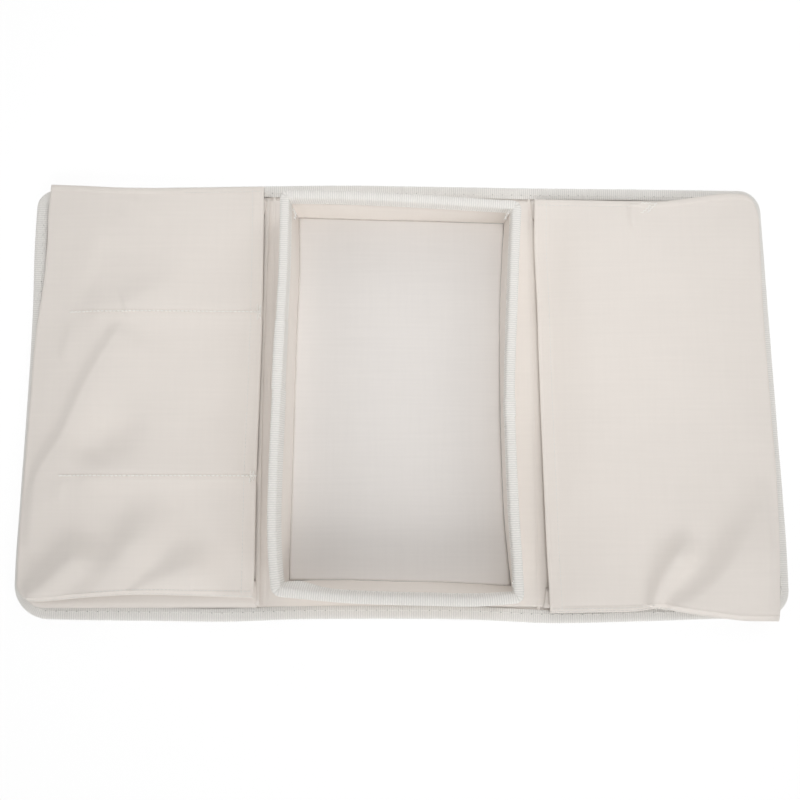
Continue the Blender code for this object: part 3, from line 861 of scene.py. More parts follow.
@dataclass
class Workshop:
    """The finishes and trees that every sub-assembly uses, and the way a piece is handed over."""

    finishes: dict[Slot, bpy.types.Material]
    ribs: RibTree
    stitches: StitchTree

    @classmethod
    def open(cls) -> Workshop:
        """Makes the finishes and the trees."""
        return cls({f.slot: f.build() for f in FINISHES}, RibTree(), StitchTree())

    def hand_over(self, piece: bpy.types.Object, slot: Slot, body: str, *stands_for: str,
                  bends_to: Side | None = None) -> bpy.types.Object:
        """Dresses a finished piece and puts it on its body, unless it crosses a fold.

        Args:
            piece: The piece with its final mesh.
            slot: The finish it takes.
            body: The body it rides on.
            *stands_for: CAD nodes it replaces.
            bends_to: The flap of a piece that crosses a fold; such a piece is only baked in place, with
                nothing that makes its far end follow the flap.

        Returns:
            The same piece.
        """
        if not piece.data.materials:
            piece.data.materials.append(self.finishes[slot])
        if bends_to:
            fold = FRAME.fold_x * bends_to.value
            reach = FRAME.fold_reach * bends_to.value
            fold - reach
            fold + reach
            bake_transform(piece)
        else:
            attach(piece, body)
        if stands_for:
            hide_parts(*stands_for)
        LOG.info("%s: %d faces on %s", piece.name, len(piece.data.polygons), body)
        return piece

    def sew(self, name: str, rows: list[tuple[Array, Array]], sewing: Sewing) -> bpy.types.Object:
        """Sews rows of stitches.

        Args:
            name: Name of the piece.
            rows: For each row its points, and the way the cloth faces at each.
            sewing: Spacing and size of the stitches.

        Returns:
            The stitches as one mesh.
        """
        points = np.concatenate([row for row, _ in rows])
        faces = np.concatenate([np.broadcast_to(face, row.shape) for row, face in rows])
        edges, start = [], 0
        for row, _ in rows:
            edges += [(start + i, start + i + 1) for i in range(len(row) - 1)]
            start += len(row)
        mesh = bpy.data.meshes.new(name)
        mesh.from_pydata(points.tolist(), edges, [])
        layer = mesh.attributes.new("face", "FLOAT_VECTOR", "POINT")
        layer.data.foreach_set("vector", faces.astype(np.float32).ravel())
        sizes = {key.capitalize(): size for key, size in asdict(sewing).items()}
        return self.stitches.apply(placed(name, mesh), self.finishes[Slot.THREAD], **sizes)

    def ribbed(self, name: str, outer: Array, inner: Array, section: Array, shown: Array,
               height: float, ring: bool = False) -> bpy.types.Object:
        """Makes a ribbed tape.

        Args:
            name: Name of the piece.
            outer: Points on the outer skin, in rows a quarter of a rib apart along the tape.
            inner: The matching points on the inner skin.
            section: The tape's flat section, with one point for each column.
            shown: How strongly the ribs stand out in each column.
            height: Height of the ribs.
            ring: Whether the tape's ends join.

        Returns:
            The tape as one mesh.
        """
        along = (np.arange(len(outer) + ring) * (RIB_PITCH / 4))[:, None]
        here = along[: len(outer)]
        attributes = {"along": (here, here), "ribs": (shown[None, :], 0.0)}
        tape = double_skin(name, outer, inner, joined(along, run_along(section)), ring, attributes)
        return self.ribs.apply(tape, self.finishes[Slot.TAPE], Pitch=RIB_PITCH, Height=height)


@dataclass(frozen=True)
class FrameSizes:
    """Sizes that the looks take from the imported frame."""

    half_length: float
    half_width: float
    fold_x: float
    fold_z: float
    cloth_top: float
    tape_top: float
    fold_reach: float = 2.3 * MM

    @classmethod
    def read(cls) -> FrameSizes:
        """Reads the sizes from the frame's nodes and joints."""
        tape_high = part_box("centre_edge_binding_far")[1]
        fold = frame["joints"][0]["pos_m"]
        return cls(
            half_length=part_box("right_flap_edge_binding")[1].x,
            half_width=tape_high.y,
            fold_x=abs(fold[0]),
            fold_z=fold[2],
            cloth_top=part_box("centre_top_cover")[1].z,
            tape_top=tape_high.z,
        )


FRAME = FrameSizes.read()


# The mat


@dataclass(frozen=True)
class MatHalf:
    """What differs between the mat's halves: the outer edge, and the radii of its corners."""

    edge: Profile
    far_corner: float
    near_corner: float


HALVES = {
    Side.LEFT: MatHalf(
        Profile(((-175, -299.2), (-125, -300.2), (-98, -299.9), (71, -299.0), (130, -300.6), (175, -300.2))),
        far_corner=17 * MM,
        near_corner=29 * MM,
    ),
    Side.RIGHT: MatHalf(
        Profile(((-175, 301.5), (-143, 302.2), (-114, 302.5), (-20, 301.2), (73, 300.0), (175, 298.6))),
        far_corner=19 * MM,
        near_corner=22 * MM,
    ),
}


@dataclass
class Mat:
    """The bound mat: cloth on both faces, folded tape round the edge and a ridge at each fold.

    The tape's crown is (distance out from its sewn edge, rise) and its waves are (height, length over
    2 pi), in millimetres. Its ribs show in part at its edges and its bend.
    """

    shop: Workshop
    cloth: float = 0.6 * MM
    tape: float = 0.8 * MM
    binding: float = 10.1 * MM
    tuck: float = 1.8 * MM
    press: float = 1.7 * MM
    back_press: float = 0.85 * MM
    press_start: float = 0.4 * MM
    press_run: float = 1.5 * MM
    fold_dip: float = 0.45 * MM
    dip_half: float = 1.2 * MM
    back_dip_half: float = 2.3 * MM
    ripple_half: float = 9 * MM
    ripple_gap: float = 2.0 * MM
    ridge: float = 1.70 * MM
    ridge_end: float = 0.6 * MM
    tape_bend: float = 1.7 * MM
    tape_lip: float = 0.9 * MM
    rib_height: float = 0.28 * MM
    stitch_inset: float = 3.4 * MM
    stitch_rise: float = 0.30 * MM
    stitch_sink: float = 0.05 * MM
    ridge_waves: Pairs = ((0.15, 29),)
    tape_waves: Pairs = ((0.10, 23), (0.07, 9.1))
    tape_crown: Pairs = ((0, -0.05), (0.25, 0.14), (3.5, 0.12), (5.9, 0.10), (7.5, 0.06))
    rib_edge: float = 0.3
    rib_bend: float = 0.35
    end_reach: float = 2 * MM
    fold_cut: Spacing = Spacing(4 * MM, 0.5 * MM, 6 * MM)
    end_cut: Spacing = Spacing(1 * MM)
    side_cut: Spacing = Spacing(4 * MM, 0.6 * MM, 3 * MM)
    far_edge: Profile = Profile(
        ((-300, 172.6), (-283, 173.0), (-108, 177.0), (-38, 177.9), (0, 177.5), (103, 176.3), (199, 175.7),
         (300, 174.8))
    )
    near_edge: Profile = Profile(
        ((-300, -172.5), (-250, -173.9), (-195, -174.6), (-137, -175.4), (-79, -173.8), (-48, -173.6),
         (60, -174.7), (114, -177.2), (169, -176.4), (247, -174.3), (300, -173.5))
    )

    def build(self) -> None:
        """Makes every piece of the mat."""
        for side in Side:
            self._top_cloth(side)
            self._back_cloth(side)
            self._binding(side)
            self._fold_ridge(side)

    def _outline(self, side: Side, count: int) -> tuple[Array, Array]:
        """Half of the mat's edge, from the middle of the far edge round to that of the near edge.

        Args:
            side: Which half.
            count: How many points.

        Returns:
            Plan points, and the direction out of the mat at each.
        """
        sign, half = side.value, HALVES[side]
        far_x = np.linspace(0, FRAME.half_length - half.far_corner, 120) * sign
        near_x = np.linspace(FRAME.half_length - half.near_corner, 0, 120) * sign
        y = np.linspace(FRAME.half_width - half.far_corner, half.near_corner - FRAME.half_width, 140)
        far = joined(far_x, self.far_edge.at(far_x))
        outer = joined(half.edge.at(y), y)
        near = joined(near_x, self.near_edge.at(near_x))
        far_bend = self._corner(np.array([far[-1, 0], outer[0, 1]]), far[-1], outer[0])
        near_bend = self._corner(np.array([near[0, 0], outer[-1, 1]]), outer[-1], near[0])
        path = evenly(np.concatenate([far, far_bend, outer, near_bend, near]), count, closed=False)
        path = softened(path, 1.2 * MM * count, closed=False)
        tangent = unit(np.gradient(path, axis=0))
        tangent[0], tangent[-1] = (sign, 0), (-sign, 0)
        return path, -right_of(tangent) * sign

    def _corner(self, hub: Array, start: Array, stop: Array) -> Array:
        """Quarter of an ellipse round a hub, without its two ends."""
        angle = np.linspace(0, math.pi / 2, 40)[1:-1, None]
        return hub + (stop - hub) * np.sin(angle) + (start - hub) * np.cos(angle)

    def _plan(self, side: Side) -> tuple[Array, Array, Array]:
        """A grid over one half of the mat, inside the tape.

        Args:
            side: Which half.

        Returns:
            The x and y of each point, and how far it lies inside the edge.
        """
        long, wide = FRAME.half_length, FRAME.half_width
        inset, tuck = self.binding, self.tuck
        across = self.fold_cut.stations(0, long - tuck, FRAME.fold_x)
        across = np.union1d(across, self.end_cut.stations(long - inset - self.end_reach, long - tuck))
        along = self.side_cut.stations(-wide + tuck, wide - tuck, -wide + inset, wide - inset)
        x, y = np.meshgrid(across, along, indexing="ij")
        corner = np.where(y > 0, HALVES[side].far_corner, HALVES[side].near_corner)
        reach = np.clip((x - (long - corner)) / (corner - tuck), 0, 0.999)
        shrink = (corner - tuck) * (1 - np.sqrt(1 - reach**2))
        limit = wide - tuck
        y = y * (limit - shrink) / limit
        dx, dy = long - x, wide - abs(y)
        rounded = corner - np.hypot(np.maximum(corner - dx, 0), np.maximum(corner - dy, 0))
        depth = np.where((dx < corner) & (dy < corner), rounded, np.minimum(dx, dy))
        return x * side.value, y, depth

    def _pressed(self, depth: Array) -> Array:
        """How far the tape presses the cloth in, from 0 inside to 1 under the tape."""
        return 1 - ease((depth - self.binding + self.press_start) / self.press_run)

    def _top_cloth(self, side: Side) -> None:
        """Cloth on the upper face of one half."""
        x, y, depth = self._plan(side)
        off = abs(x) - FRAME.fold_x
        pressed = self._pressed(depth)
        z = FRAME.cloth_top - self.press * pressed - self.fold_dip * bell(off, self.dip_half)
        z = z + self._ripple(off, y, side) * (1 - pressed) * (1 - bell(off, self.ripple_gap))
        self._cover("top", side, joined(x, y, z))

    def _ripple(self, off: Array, y: Array, side: Side) -> Array:
        """Long slack ripples beside the fold, where no board holds the cloth flat."""
        wave = np.sin(off / (2.6 * MM)) * np.sin(y / (61 * MM) + side.value) * 0.06
        sway = np.sin(y / (37 * MM) + off / (4 * MM)) * 0.10
        return (wave + sway) * MM * bell(off, self.ripple_half)

    def _back_cloth(self, side: Side) -> None:
        """Cloth on the under face of one half."""
        x, y, depth = self._plan(side)
        off = abs(x) - FRAME.fold_x
        z = self.cloth + self.back_press * self._pressed(depth)
        z = z + self.fold_dip * bell(off, self.back_dip_half)
        self._cover("back", side, joined(x, y, z))

    def _cover(self, word: str, side: Side, points: Array) -> None:
        """Hands over one half of a cover, a sheet of cloth over the boards."""
        sheet = cloth_sheet(f"mat_{word}_cloth_{side.word}", points, self.cloth, points[..., :2])
        self.shop.hand_over(sheet, Slot.CLOTH, "centre", f"centre_{word}_cover",
                            f"{side.word}_flap_{word}_cover", bends_to=side)
        FRAME.half_length - self.tuck
        2 * (FRAME.half_width - self.tuck)

    def _tape_section(self) -> tuple[Array, Array]:
        """Section of the folded tape, from its upper edge round to its lower one.

        Returns:
            Depth inside the mat's edge and height for the outer skin, and for the inner skin.
        """
        top, half, inset = FRAME.tape_top, FRAME.tape_top / 2, self.binding
        out, crown = np.array(self.tape_crown).T * MM
        flat = inset - out
        bend = np.linspace(0.12, 0.88, 6) * math.pi
        turn = joined(self.tape_bend * (1 - np.sin(bend)), half + half * np.cos(bend))
        lower = joined(flat[::-1], np.maximum(-crown[::-1], 0.0))
        outer = np.concatenate([joined(flat, top + crown), turn, lower])
        inner = inner_side(outer, (inset * 0.5, half), self.tape)
        inner[[0, -1], 1] = top - self.tape_lip, self.tape_lip
        inner[:, 0] = np.minimum(inner[:, 0], inset - 0.1 * MM)
        inner[[0, -1], 0] = inset - 0.1 * MM
        return outer, inner

    def _binding(self, side: Side) -> None:
        """Folded tape round one half of the mat, with its ribs and stitches."""
        rough = self._outline(side, 1200)[0]
        ribs = round(run_along(rough)[-1] / RIB_PITCH)
        path, outward = self._outline(side, 4 * ribs + 1)
        slack = uneven(np.arange(len(path)) * (RIB_PITCH / 4), *self.tape_waves)
        outer, inner = self._tape_section()

        def skin(section: Array) -> Array:
            """The section swept round the outline, with a little slack in its upper face."""
            plan = path[:, None, :] - outward[:, None, :] * section[None, :, :1]
            is_upper = section[:, 1] > FRAME.tape_top * 0.6
            return at_height(plan, section[:, 1] + slack[:, None] * is_upper)

        shown = np.ones(len(outer))
        shown[[0, -1]] = self.rib_edge
        shown[5:-5] = self.rib_bend
        tape = self.shop.ribbed(f"mat_edge_tape_{side.word}", skin(outer), skin(inner), outer, shown,
                                self.rib_height)
        self.shop.hand_over(tape, Slot.TAPE, "centre", "centre_edge_binding_far", "centre_edge_binding_near",
                            f"{side.word}_flap_edge_binding", bends_to=side)
        self._edge_stitches(side, (path - outward * (self.binding - self.stitch_inset))[::6])

    def _edge_stitches(self, side: Side, plan: Array) -> None:
        """Stitches through the tape, seen on both faces of the mat."""
        top = at_height(plan, FRAME.tape_top + self.stitch_rise)
        low = at_height(plan, -self.stitch_sink)
        rows = [(top, np.array([0.0, 0.0, 1.0])), (low, np.array([0.0, 0.0, -1.0]))]
        stitches = self.shop.sew(f"mat_edge_stitches_{side.word}", rows, EDGE_STITCH)
        self.shop.hand_over(stitches, Slot.THREAD, "centre", bends_to=side)

    def _fold_ridge(self, side: Side) -> None:
        """Rolled ridge of cloth along one fold."""
        low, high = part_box(f"{side.word}_fold_seam")
        along = np.linspace(low.y + self.ridge_end, high.y - self.ridge_end, 180)[:, None]
        share = np.abs(along) / high.y
        size = self.ridge * (1 - 0.25 * ease((share - 0.93) / 0.07)) * (1 + 0.05 * np.sin(along / (11 * MM)))
        angle = np.linspace(0.02, 0.98, 9) * math.pi
        across = FRAME.fold_x * side.value + uneven(along, *self.ridge_waves) - size * np.cos(angle)
        rise = size * np.sin(angle)
        skins = (joined(across, along, FRAME.fold_z + rise), joined(across, along, FRAME.fold_z - rise))
        ridge = double_skin(f"fold_ridge_{side.word}", *skins, joined(angle * self.ridge, along))
        self.shop.hand_over(ridge, Slot.CLOTH, "centre", f"{side.word}_fold_seam")


# The tray


@dataclass(frozen=True)
class Wall:
    """One padded tray wall. Its middle lines run corner to corner with the outside on the right.

    Within the steady share of each end, the wall faces square to its chord.
    """

    name: str
    foot: Line
    rim: Line
    steady: float = 0.03

    def points(self, share: Array, across: Array, height: Array, thickness: float, tray: Tray) -> Array:
        """Points in the wall.

        Args:
            share: Along the wall, from 0 to 1.
            across: Through the wall, from -1 inside to 1 outside.
            height: Up the wall, from 0 to 1.
            thickness: The wall's thickness, in metres.
            tray: The tray, for its levels.

        Returns:
            One point for each triple, in metres.
        """
        share, across, height = np.broadcast_arrays(share, across, height)
        low, high = self.foot.at(share), self.rim.at(share)
        middle = low + (high - low) * height[..., None]
        ahead = self.rim.at(np.clip(share + NUDGE, 0, 1)) - self.rim.at(np.clip(share - NUDGE, 0, 1))
        first, last = self.rim.at(np.array([0.0, 1.0]))
        bent = ease(np.minimum(share, 1 - share) / self.steady)[..., None]
        tangent = unit(unit(ahead) * bent + unit(last - first) * (1 - bent))
        half = across * thickness / 2
        stretch = (2 * share - 1) * half
        plan = middle + right_of(tangent) * half[..., None] + tangent * stretch[..., None]
        return at_height(plan, tray.foot_z + (tray.rim_z - tray.foot_z) * height)


@dataclass
class Tray:
    """The tray: four padded walls, a ribbed tape over their rim, and a floor.

    The tape's legs are (bow outwards, height up the leg), a lap is (the sign of the wall's x, from, to)
    along y, and a part of a corner's mitre is (size, half width). All are in millimetres, apart from a
    narrowing, whose size is a share of the tape's width. The shoulder, the belly's top and the board's
    ends are shares of the wall.
    """

    shop: Workshop
    foot_z: float = 4.1 * MM
    rim_z: float = 40.1 * MM
    thickness: float = 5.0 * MM
    belly: float = 1.5 * MM
    outer_belly: float = 0.8
    belly_end: float = 26 * MM
    belly_top: float = 0.60
    belly_fade: float = 0.16
    shoulder: float = 0.985
    lip: float = 0.03
    pucker: float = 0.16 * MM
    pucker_length: float = 3.1 * MM
    corner: float = 3.6 * MM
    board: float = 2.0 * MM
    board_run: Point = (0.035, 0.965)
    board_rise: Point = (0.06, 0.97)
    tape: float = 0.8 * MM
    tape_half: float = 3.5 * MM
    tape_drop: float = 9.6 * MM
    tape_round: float = 2.3 * MM
    tape_soft: float = 0.72
    tape_top: float = 41.1 * MM
    tape_legs: Pairs = ((0.0, 0.0), (0.12, 0.6), (0.18, 3.4), (0.1, 6.2))
    tape_waves: Pairs = ((0.10, 19), (0.06, 7.3))
    rib_height: float = 0.30 * MM
    rib_edge: float = 0.3
    flare: float = 5.0 * MM
    flare_x: float = -79 * MM
    flare_half: float = 15 * MM
    lap: float = 0.45 * MM
    laps: tuple[tuple[int, float, float], ...] = ((-1, 0, 54), (1, -20, -7))
    mitre_sinks: Pairs = ((0.9, 0.55), (-0.25, 5))
    mitre_narrows: Pairs = ((-0.10, 2.0), (0.05, 9))
    stitch_up: float = 1.9 * MM
    stitch_out: float = 0.28 * MM
    stitch_lean: float = 5.6 * MM
    tuft_drop: float = 1.5 * MM
    seam_shift: tuple[float, float] = (-0.09 * MM, -1.1 * MM)
    cloth: float = 0.6 * MM
    floor_top: float = 7.0 * MM
    floor_gap: float = 0.3 * MM
    floor_tuck: float = 1.0 * MM
    floor_turn: float = 4 * MM
    wall_cut: Spacing = Spacing(2.4 * MM, 0.5 * MM, 5 * MM)
    floor_cut: Spacing = Spacing(3 * MM, 0.5 * MM, 4 * MM)
    tufts: tuple[Pairs, ...] = (
        ((-86.0, 143.2), (-84.0, 139.0), (-84.6, 135.6)),
        ((83.6, -150.4), (81.4, -147.0), (80.6, -144.0)),
        ((84.8, 142.6), (81.6, 139.6), (80.2, 136.0)),
    )
    walls: tuple[Wall, ...] = (
        Wall("near",
             Line(((-90.0, -146.5), (-53, -146.1), (-3, -147.3), (47, -148.7), (86.6, -150.8))),
             Line(((-93.8, -150.4), (-76, -152.2), (-47, -155.0), (-10, -156.9), (19, -157.5),
                   (56, -158.0), (85.4, -155.8)))),
        Wall("right",
             Line(((86.6, -150.8), (85.0, -130), (82.9, -104), (81.3, -55), (80.9, -3), (81.3, 40),
                   (82.2, 79), (86.5, 146.8))),
             Line(((85.4, -155.8), (84.6, -128), (83.2, -98), (81.9, -50), (81.5, -8), (83.2, 35),
                   (85.3, 70), (87.0, 102), (89.8, 147.4)))),
        Wall("far",
             Line(((86.5, 146.8), (30, 148.4), (-30, 149.6), (-87.3, 150.9))),
             Line(((89.8, 147.4), (71, 148.4), (13, 152.0), (-20, 153.8), (-53, 154.8), (-93.0, 155.2)))),
        Wall("left",
             Line(((-87.3, 150.9), (-86.3, 103), (-87.4, 60), (-88.6, -20), (-89.4, -90),
                   (-90.0, -146.5))),
             Line(((-93.0, 155.2), (-93.0, 101), (-93.9, 70), (-95.7, 22), (-96.4, -8), (-97.2, -39),
                   (-97.8, -69), (-97.9, -98), (-96.4, -128), (-93.8, -150.4)))),
    )

    def build(self) -> None:
        """Makes every piece of the tray."""
        for wall in self.walls:
            self._cover(wall)
            self._board(wall)
        self._corner_seams()
        self._rim()
        self._floor()

    def _cover(self, wall: Wall) -> None:
        """Padded cover of one wall."""
        length = wall.rim.length
        share = self.wall_cut.stations(0, length, 0.0, length)[:, None] / length
        ends = np.minimum(share, 1 - share) * length
        rise, turn = np.linspace(0, 1, 17), np.linspace(0, 1, 5)[1:] * math.pi / 2
        over = self.shoulder + (1 - self.shoulder) * np.sin(turn)
        height = np.concatenate([rise * self.shoulder, over])[None, :]
        width = np.concatenate([np.ones(17), self.lip + (1 - self.lip) * np.cos(turn)])[None, :]
        puff = np.sin(math.pi * height) ** 0.6 * ease(ends / self.belly_end)
        puff = puff * (1 - ease((height - self.belly_top) / self.belly_fade))
        wave = np.sin(share * length / self.pucker_length + 2 * np.sin(share * 17))
        pucker = self.pucker * wave * bell(height, 0.25)
        middle = wall.points(share, 0.0 * width, height, 1.0, self)
        skins = []
        for sign, belly in ((-1.0, 1.0), (1.0, self.outer_belly)):
            size = self.thickness + (self.belly * puff + pucker) * belly
            face = wall.points(share, sign * width, height, 1.0, self)
            skins.append(middle + (face - middle) * size[..., None])
        cut = self.corner - np.sqrt(np.maximum(self.corner**2 - np.maximum(self.corner - ends, 0) ** 2, 0))
        skins[1] += (middle - skins[1]) * np.minimum(cut * 2 / self.thickness, 0.9)[..., None]
        uv = joined(share * length, height * (self.rim_z - self.foot_z))
        cover = double_skin(f"tray_wall_{wall.name}", *skins, uv)
        self.shop.hand_over(cover, Slot.CLOTH, "centre", f"tray_wall_cover_{wall.name}")

    def _board(self, wall: Wall) -> None:
        """Stiffener inside one wall, bowed with it."""
        share = np.linspace(*self.board_run, 60)[:, None]
        height = np.linspace(*self.board_rise, 8)[None, :]
        skins = [wall.points(share, sign, height, self.board, self) for sign in (-1.0, 1.0)]
        uv = joined(share * wall.rim.length, height * self.rim_z)
        board = double_skin(f"tray_stiffener_{wall.name}", *skins, uv)
        self.shop.hand_over(board, Slot.BOARD, "centre", f"tray_wall_board_{wall.name}")

    def _corner_seams(self) -> None:
        """Stitches down the outer and inner line of each corner."""
        height = np.linspace(0.04, 0.94, 24)
        for before, after in zip(self.walls, self.walls[1:] + self.walls[:1]):
            words = {before.name, after.name}
            corner = f"{'left' if 'left' in words else 'right'}_{'far' if 'far' in words else 'near'}"
            middle = before.points(1.0, 0.0, height, self.thickness, self)
            rows = []
            for sign, shift in zip((-1.0, 1.0), self.seam_shift):
                end = before.points(1.0, sign, height, self.thickness, self)
                way = unit((end - middle) * (1, 1, 0))
                rows.append((end + way * shift, way))
            seam = self.shop.sew(f"tray_corner_stitches_{corner}", rows, SEAM_STITCH)
            self.shop.hand_over(seam, Slot.THREAD, "centre", f"tray_corner_seam_{corner}")

    def _ring(self, count: int) -> tuple[Array, Array]:
        """The rim's middle line, with rounded corners.

        Args:
            count: How many points.

        Returns:
            Plan points, and at each how the wall below leans, in metres for each metre down.
        """
        share = np.linspace(0, 1, 400)[:-1]
        rim = np.concatenate([wall.rim.at(share) for wall in self.walls])
        foot = np.concatenate([wall.foot.at(share) for wall in self.walls])
        lean = (foot - rim) / (self.rim_z - self.foot_z)
        rows = evenly(np.concatenate([rim, lean * MM], axis=1), 2000, closed=True)
        rows = evenly(softened(rows, 4.2, closed=True), count, closed=True)
        return rows[:, :2], rows[:, 2:] / MM

    def _rim_section(self) -> tuple[Array, Array]:
        """Section of the tape over a wall's top, from its outer edge to its inner one.

        Returns:
            Distance out from the wall's middle and height for the outer skin, and for the inner skin.
        """
        low = self.tape_top - self.tape_drop
        turn = np.linspace(0, math.pi, 9)
        bow, leg = np.array(self.tape_legs).T * MM + [[self.tape_half], [low]]
        over = self.tape_half * np.sign(np.cos(turn)) * np.abs(np.cos(turn)) ** self.tape_soft
        arch = self.tape_top - self.tape_round * (1 - np.sin(turn) ** self.tape_soft)
        outer = joined(np.concatenate([bow, over, -bow[::-1]]), np.concatenate([leg, arch, leg[::-1]]))
        return outer, inner_side(outer, (0.0, low), self.tape)

    def _rim(self) -> None:
        """Ribbed tape folded over the tops of the walls, with its stitches."""
        rough = self._ring(2000)[0]
        ribs = round(run_along(np.concatenate([rough, rough[:1]]))[-1] / RIB_PITCH)
        path, lean = self._ring(4 * ribs)
        outward = right_of(unit(np.roll(path, -1, axis=0) - np.roll(path, 1, axis=0)))
        outer, inner = self._rim_section()
        lap = self._lapped(path)
        sink, spread = self._mitres(path)
        flare = self.flare * bell(path[:, 0] - self.flare_x, self.flare_half) * (path[:, 1] < 0)
        wave = uneven(np.arange(4 * ribs) * (RIB_PITCH / 4), *self.tape_waves)

        def skin(section: Array, grow: float) -> Array:
            """The section swept round the rim, which grows where the tape's ends lap."""
            out, up = section[None, :, 0], section[None, :, 1]
            wide = out * (1 + spread[:, None]) + np.sign(out) * lap[:, None] * grow
            inside = 0.15 + 0.85 * ease(0.5 - out / self.tape_half)
            sunk = (lap * grow + wave)[:, None] - sink[:, None] * inside
            up = up + sunk * (up > self.tape_top - 3 * MM)
            below = np.maximum(self.tape_top - 2 * MM - up, 0)
            wide = wide - flare[:, None] * (below / self.tape_drop) * (out < 0)
            plan = path[:, None, :] + outward[:, None, :] * wide[..., None]
            plan = plan + lean[:, None, :] * below[..., None]
            return at_height(plan, up)

        shown = np.ones(len(outer))
        shown[[0, -1]] = self.rib_edge
        tape = self.shop.ribbed("tray_rim_tape", skin(outer, 1.0), skin(inner, 0.0), outer, shown,
                                self.rib_height, ring=True)
        self.shop.hand_over(tape, Slot.TAPE, "centre", "tray_rim_binding")
        self._rim_stitches((path + lean * self.stitch_lean)[::5], outward[::5])
        self._corner_tufts()

    def _lapped(self, path: Array) -> Array:
        """How much thicker the tape is where its ends lap, on the left and right walls."""
        x, y = path.T / MM
        lap = np.zeros(len(path))
        for sign, low, high in self.laps:
            lap[(x * sign > 60) & (y > low) & (y < high)] = self.lap
        return softened(lap[:, None], 0.6, closed=True)[:, 0]

    def _mitres(self, path: Array) -> tuple[Array, Array]:
        """The mitre folded into the tape at each corner.

        Args:
            path: The rim's middle line.

        Returns:
            How far the top sinks, and how much the tape narrows, at each point.
        """
        sink, narrow = np.zeros(len(path)), np.zeros(len(path))
        for wall in self.walls:
            corner = wall.rim.at(np.array([0.0]))[0]
            away = np.linalg.norm(path - corner, axis=1)
            away = away - away.min()
            sink += sum(height * MM * bell(away, half * MM) for height, half in self.mitre_sinks)
            narrow += sum(size * bell(away, half * MM) for size, half in self.mitre_narrows)
        return sink, narrow

    def _rim_stitches(self, path: Array, outward: Array) -> None:
        """Stitches through the tape, seen on both faces of the walls."""
        rows = []
        for sign in (-1.0, 1.0):
            plan = path + outward * (self.tape_half + self.stitch_out) * sign
            row = at_height(plan, self.tape_top - self.tape_drop + self.stitch_up)
            face = at_height(outward * sign, 0.0)
            rows.append((np.concatenate([row, row[:1]]), np.concatenate([face, face[:1]])))
        stitches = self.shop.sew("tray_rim_stitches", rows, RIM_STITCH)
        self.shop.hand_over(stitches, Slot.THREAD, "centre")

    def _corner_tufts(self) -> None:
        """Thread ends that stick out where the tape is tacked into three inner corners."""
        rows = []
        for points in self.tufts:
            row = at_height(np.array(points) * MM, self.tape_top - self.tuft_drop)
            rows.append((evenly(row, 8, closed=False), np.array([0.0, 0.0, 1.0])))
        tufts = self.shop.sew("tray_corner_tufts", rows, TUFT_STITCH)
        self.shop.hand_over(tufts, Slot.THREAD, "centre")

    def _floor(self) -> None:
        """Cloth over the floor board, tucked down at the walls."""
        low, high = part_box("tray_floor_cover")
        wide, long = high.x - low.x, high.y - low.y
        u = self.floor_cut.stations(0, wide, 0.0, wide) / wide
        v = self.floor_cut.stations(0, long, 0.0, long) / long
        u, v = np.meshgrid(u, v, indexing="ij")
        near, right, far, left = (self._floor_edge(wall) for wall in self.walls)
        plan = patch(u, v, (left, right), (near, far))
        depth = np.minimum(np.minimum(u, 1 - u) * wide, np.minimum(v, 1 - v) * long)
        z = self.floor_top - self.floor_tuck * (1 - ease(depth / (1.6 * MM)))
        z = z - 0.12 * MM * (1 - ease(depth / (20 * MM)))
        sheet = cloth_sheet("tray_floor_cloth", at_height(plan, z), self.cloth, plan)
        self.shop.hand_over(sheet, Slot.FLOOR, "centre", "tray_floor_cover")
        wide + 2 * self.floor_turn
        long + 2 * self.floor_turn

    def _floor_edge(self, wall: Wall) -> Edge:
        """Plan line of a wall's inner face at the floor, by share towards +x or +y."""
        height = (self.floor_top - self.foot_z) / (self.rim_z - self.foot_z)
        gap = self.thickness + 2 * self.floor_gap
        is_reversed = wall.name in ("far", "left")

        def edge(share: Array) -> Array:
            """Plan points at shares of the edge."""
            along = 1 - share if is_reversed else share
            return wall.points(along, -1.0, height, gap, self)[..., :2]

        return edge


# The pockets


@dataclass(frozen=True)
class Crease:
    """A fold in slack cloth, in millimetres: a ridge, or a valley where its height is negative.

    The fan is its size at the start as a share of its full size, which it reaches at the fan's run,
    a share of its length.
    """

    points: Pairs
    height: float
    left: float
    right: float
    start: float = 0.3
    stop: float = 0.3
    fan: float = 1.0
    fan_run: float = 0.6

    def lift(self, x: Array, y: Array) -> Array:
        """Height that the crease adds at each place, in metres."""
        line = Line(self.points).at(np.linspace(0, 1, 25))
        flat = joined(x.ravel(), y.ravel())
        best = np.full(len(flat), 1e9)
        signed, share = np.zeros(len(flat)), np.zeros(len(flat))
        for i in range(len(line) - 1):
            step = line[i + 1] - line[i]
            size = float(step @ step)
            t = np.clip((flat - line[i]) @ step / size, 0, 1)
            gap = flat - line[i] - t[:, None] * step
            away = np.linalg.norm(gap, axis=1)
            nearer = away < best
            best[nearer] = away[nearer]
            turn = step[0] * gap[:, 1] - step[1] * gap[:, 0]
            signed[nearer] = (np.sign(turn) * away)[nearer]
            share[nearer] = ((i + t) / (len(line) - 1))[nearer]
        width = np.where(signed > 0, self.left, self.right) * MM
        grown = self.fan + (1 - self.fan) * np.clip(share / self.fan_run, 0, 1)
        ends = grown * ease(share / self.start) * ease((1 - share) / self.stop)
        return (bell(signed, width * grown) * ends * self.height * MM).reshape(x.shape)


@dataclass(frozen=True)
class EdgeRow:
    """A row of topstitching along a pocket's near or far edge."""

    is_far: bool
    inset: float
    start: float
    stop: float


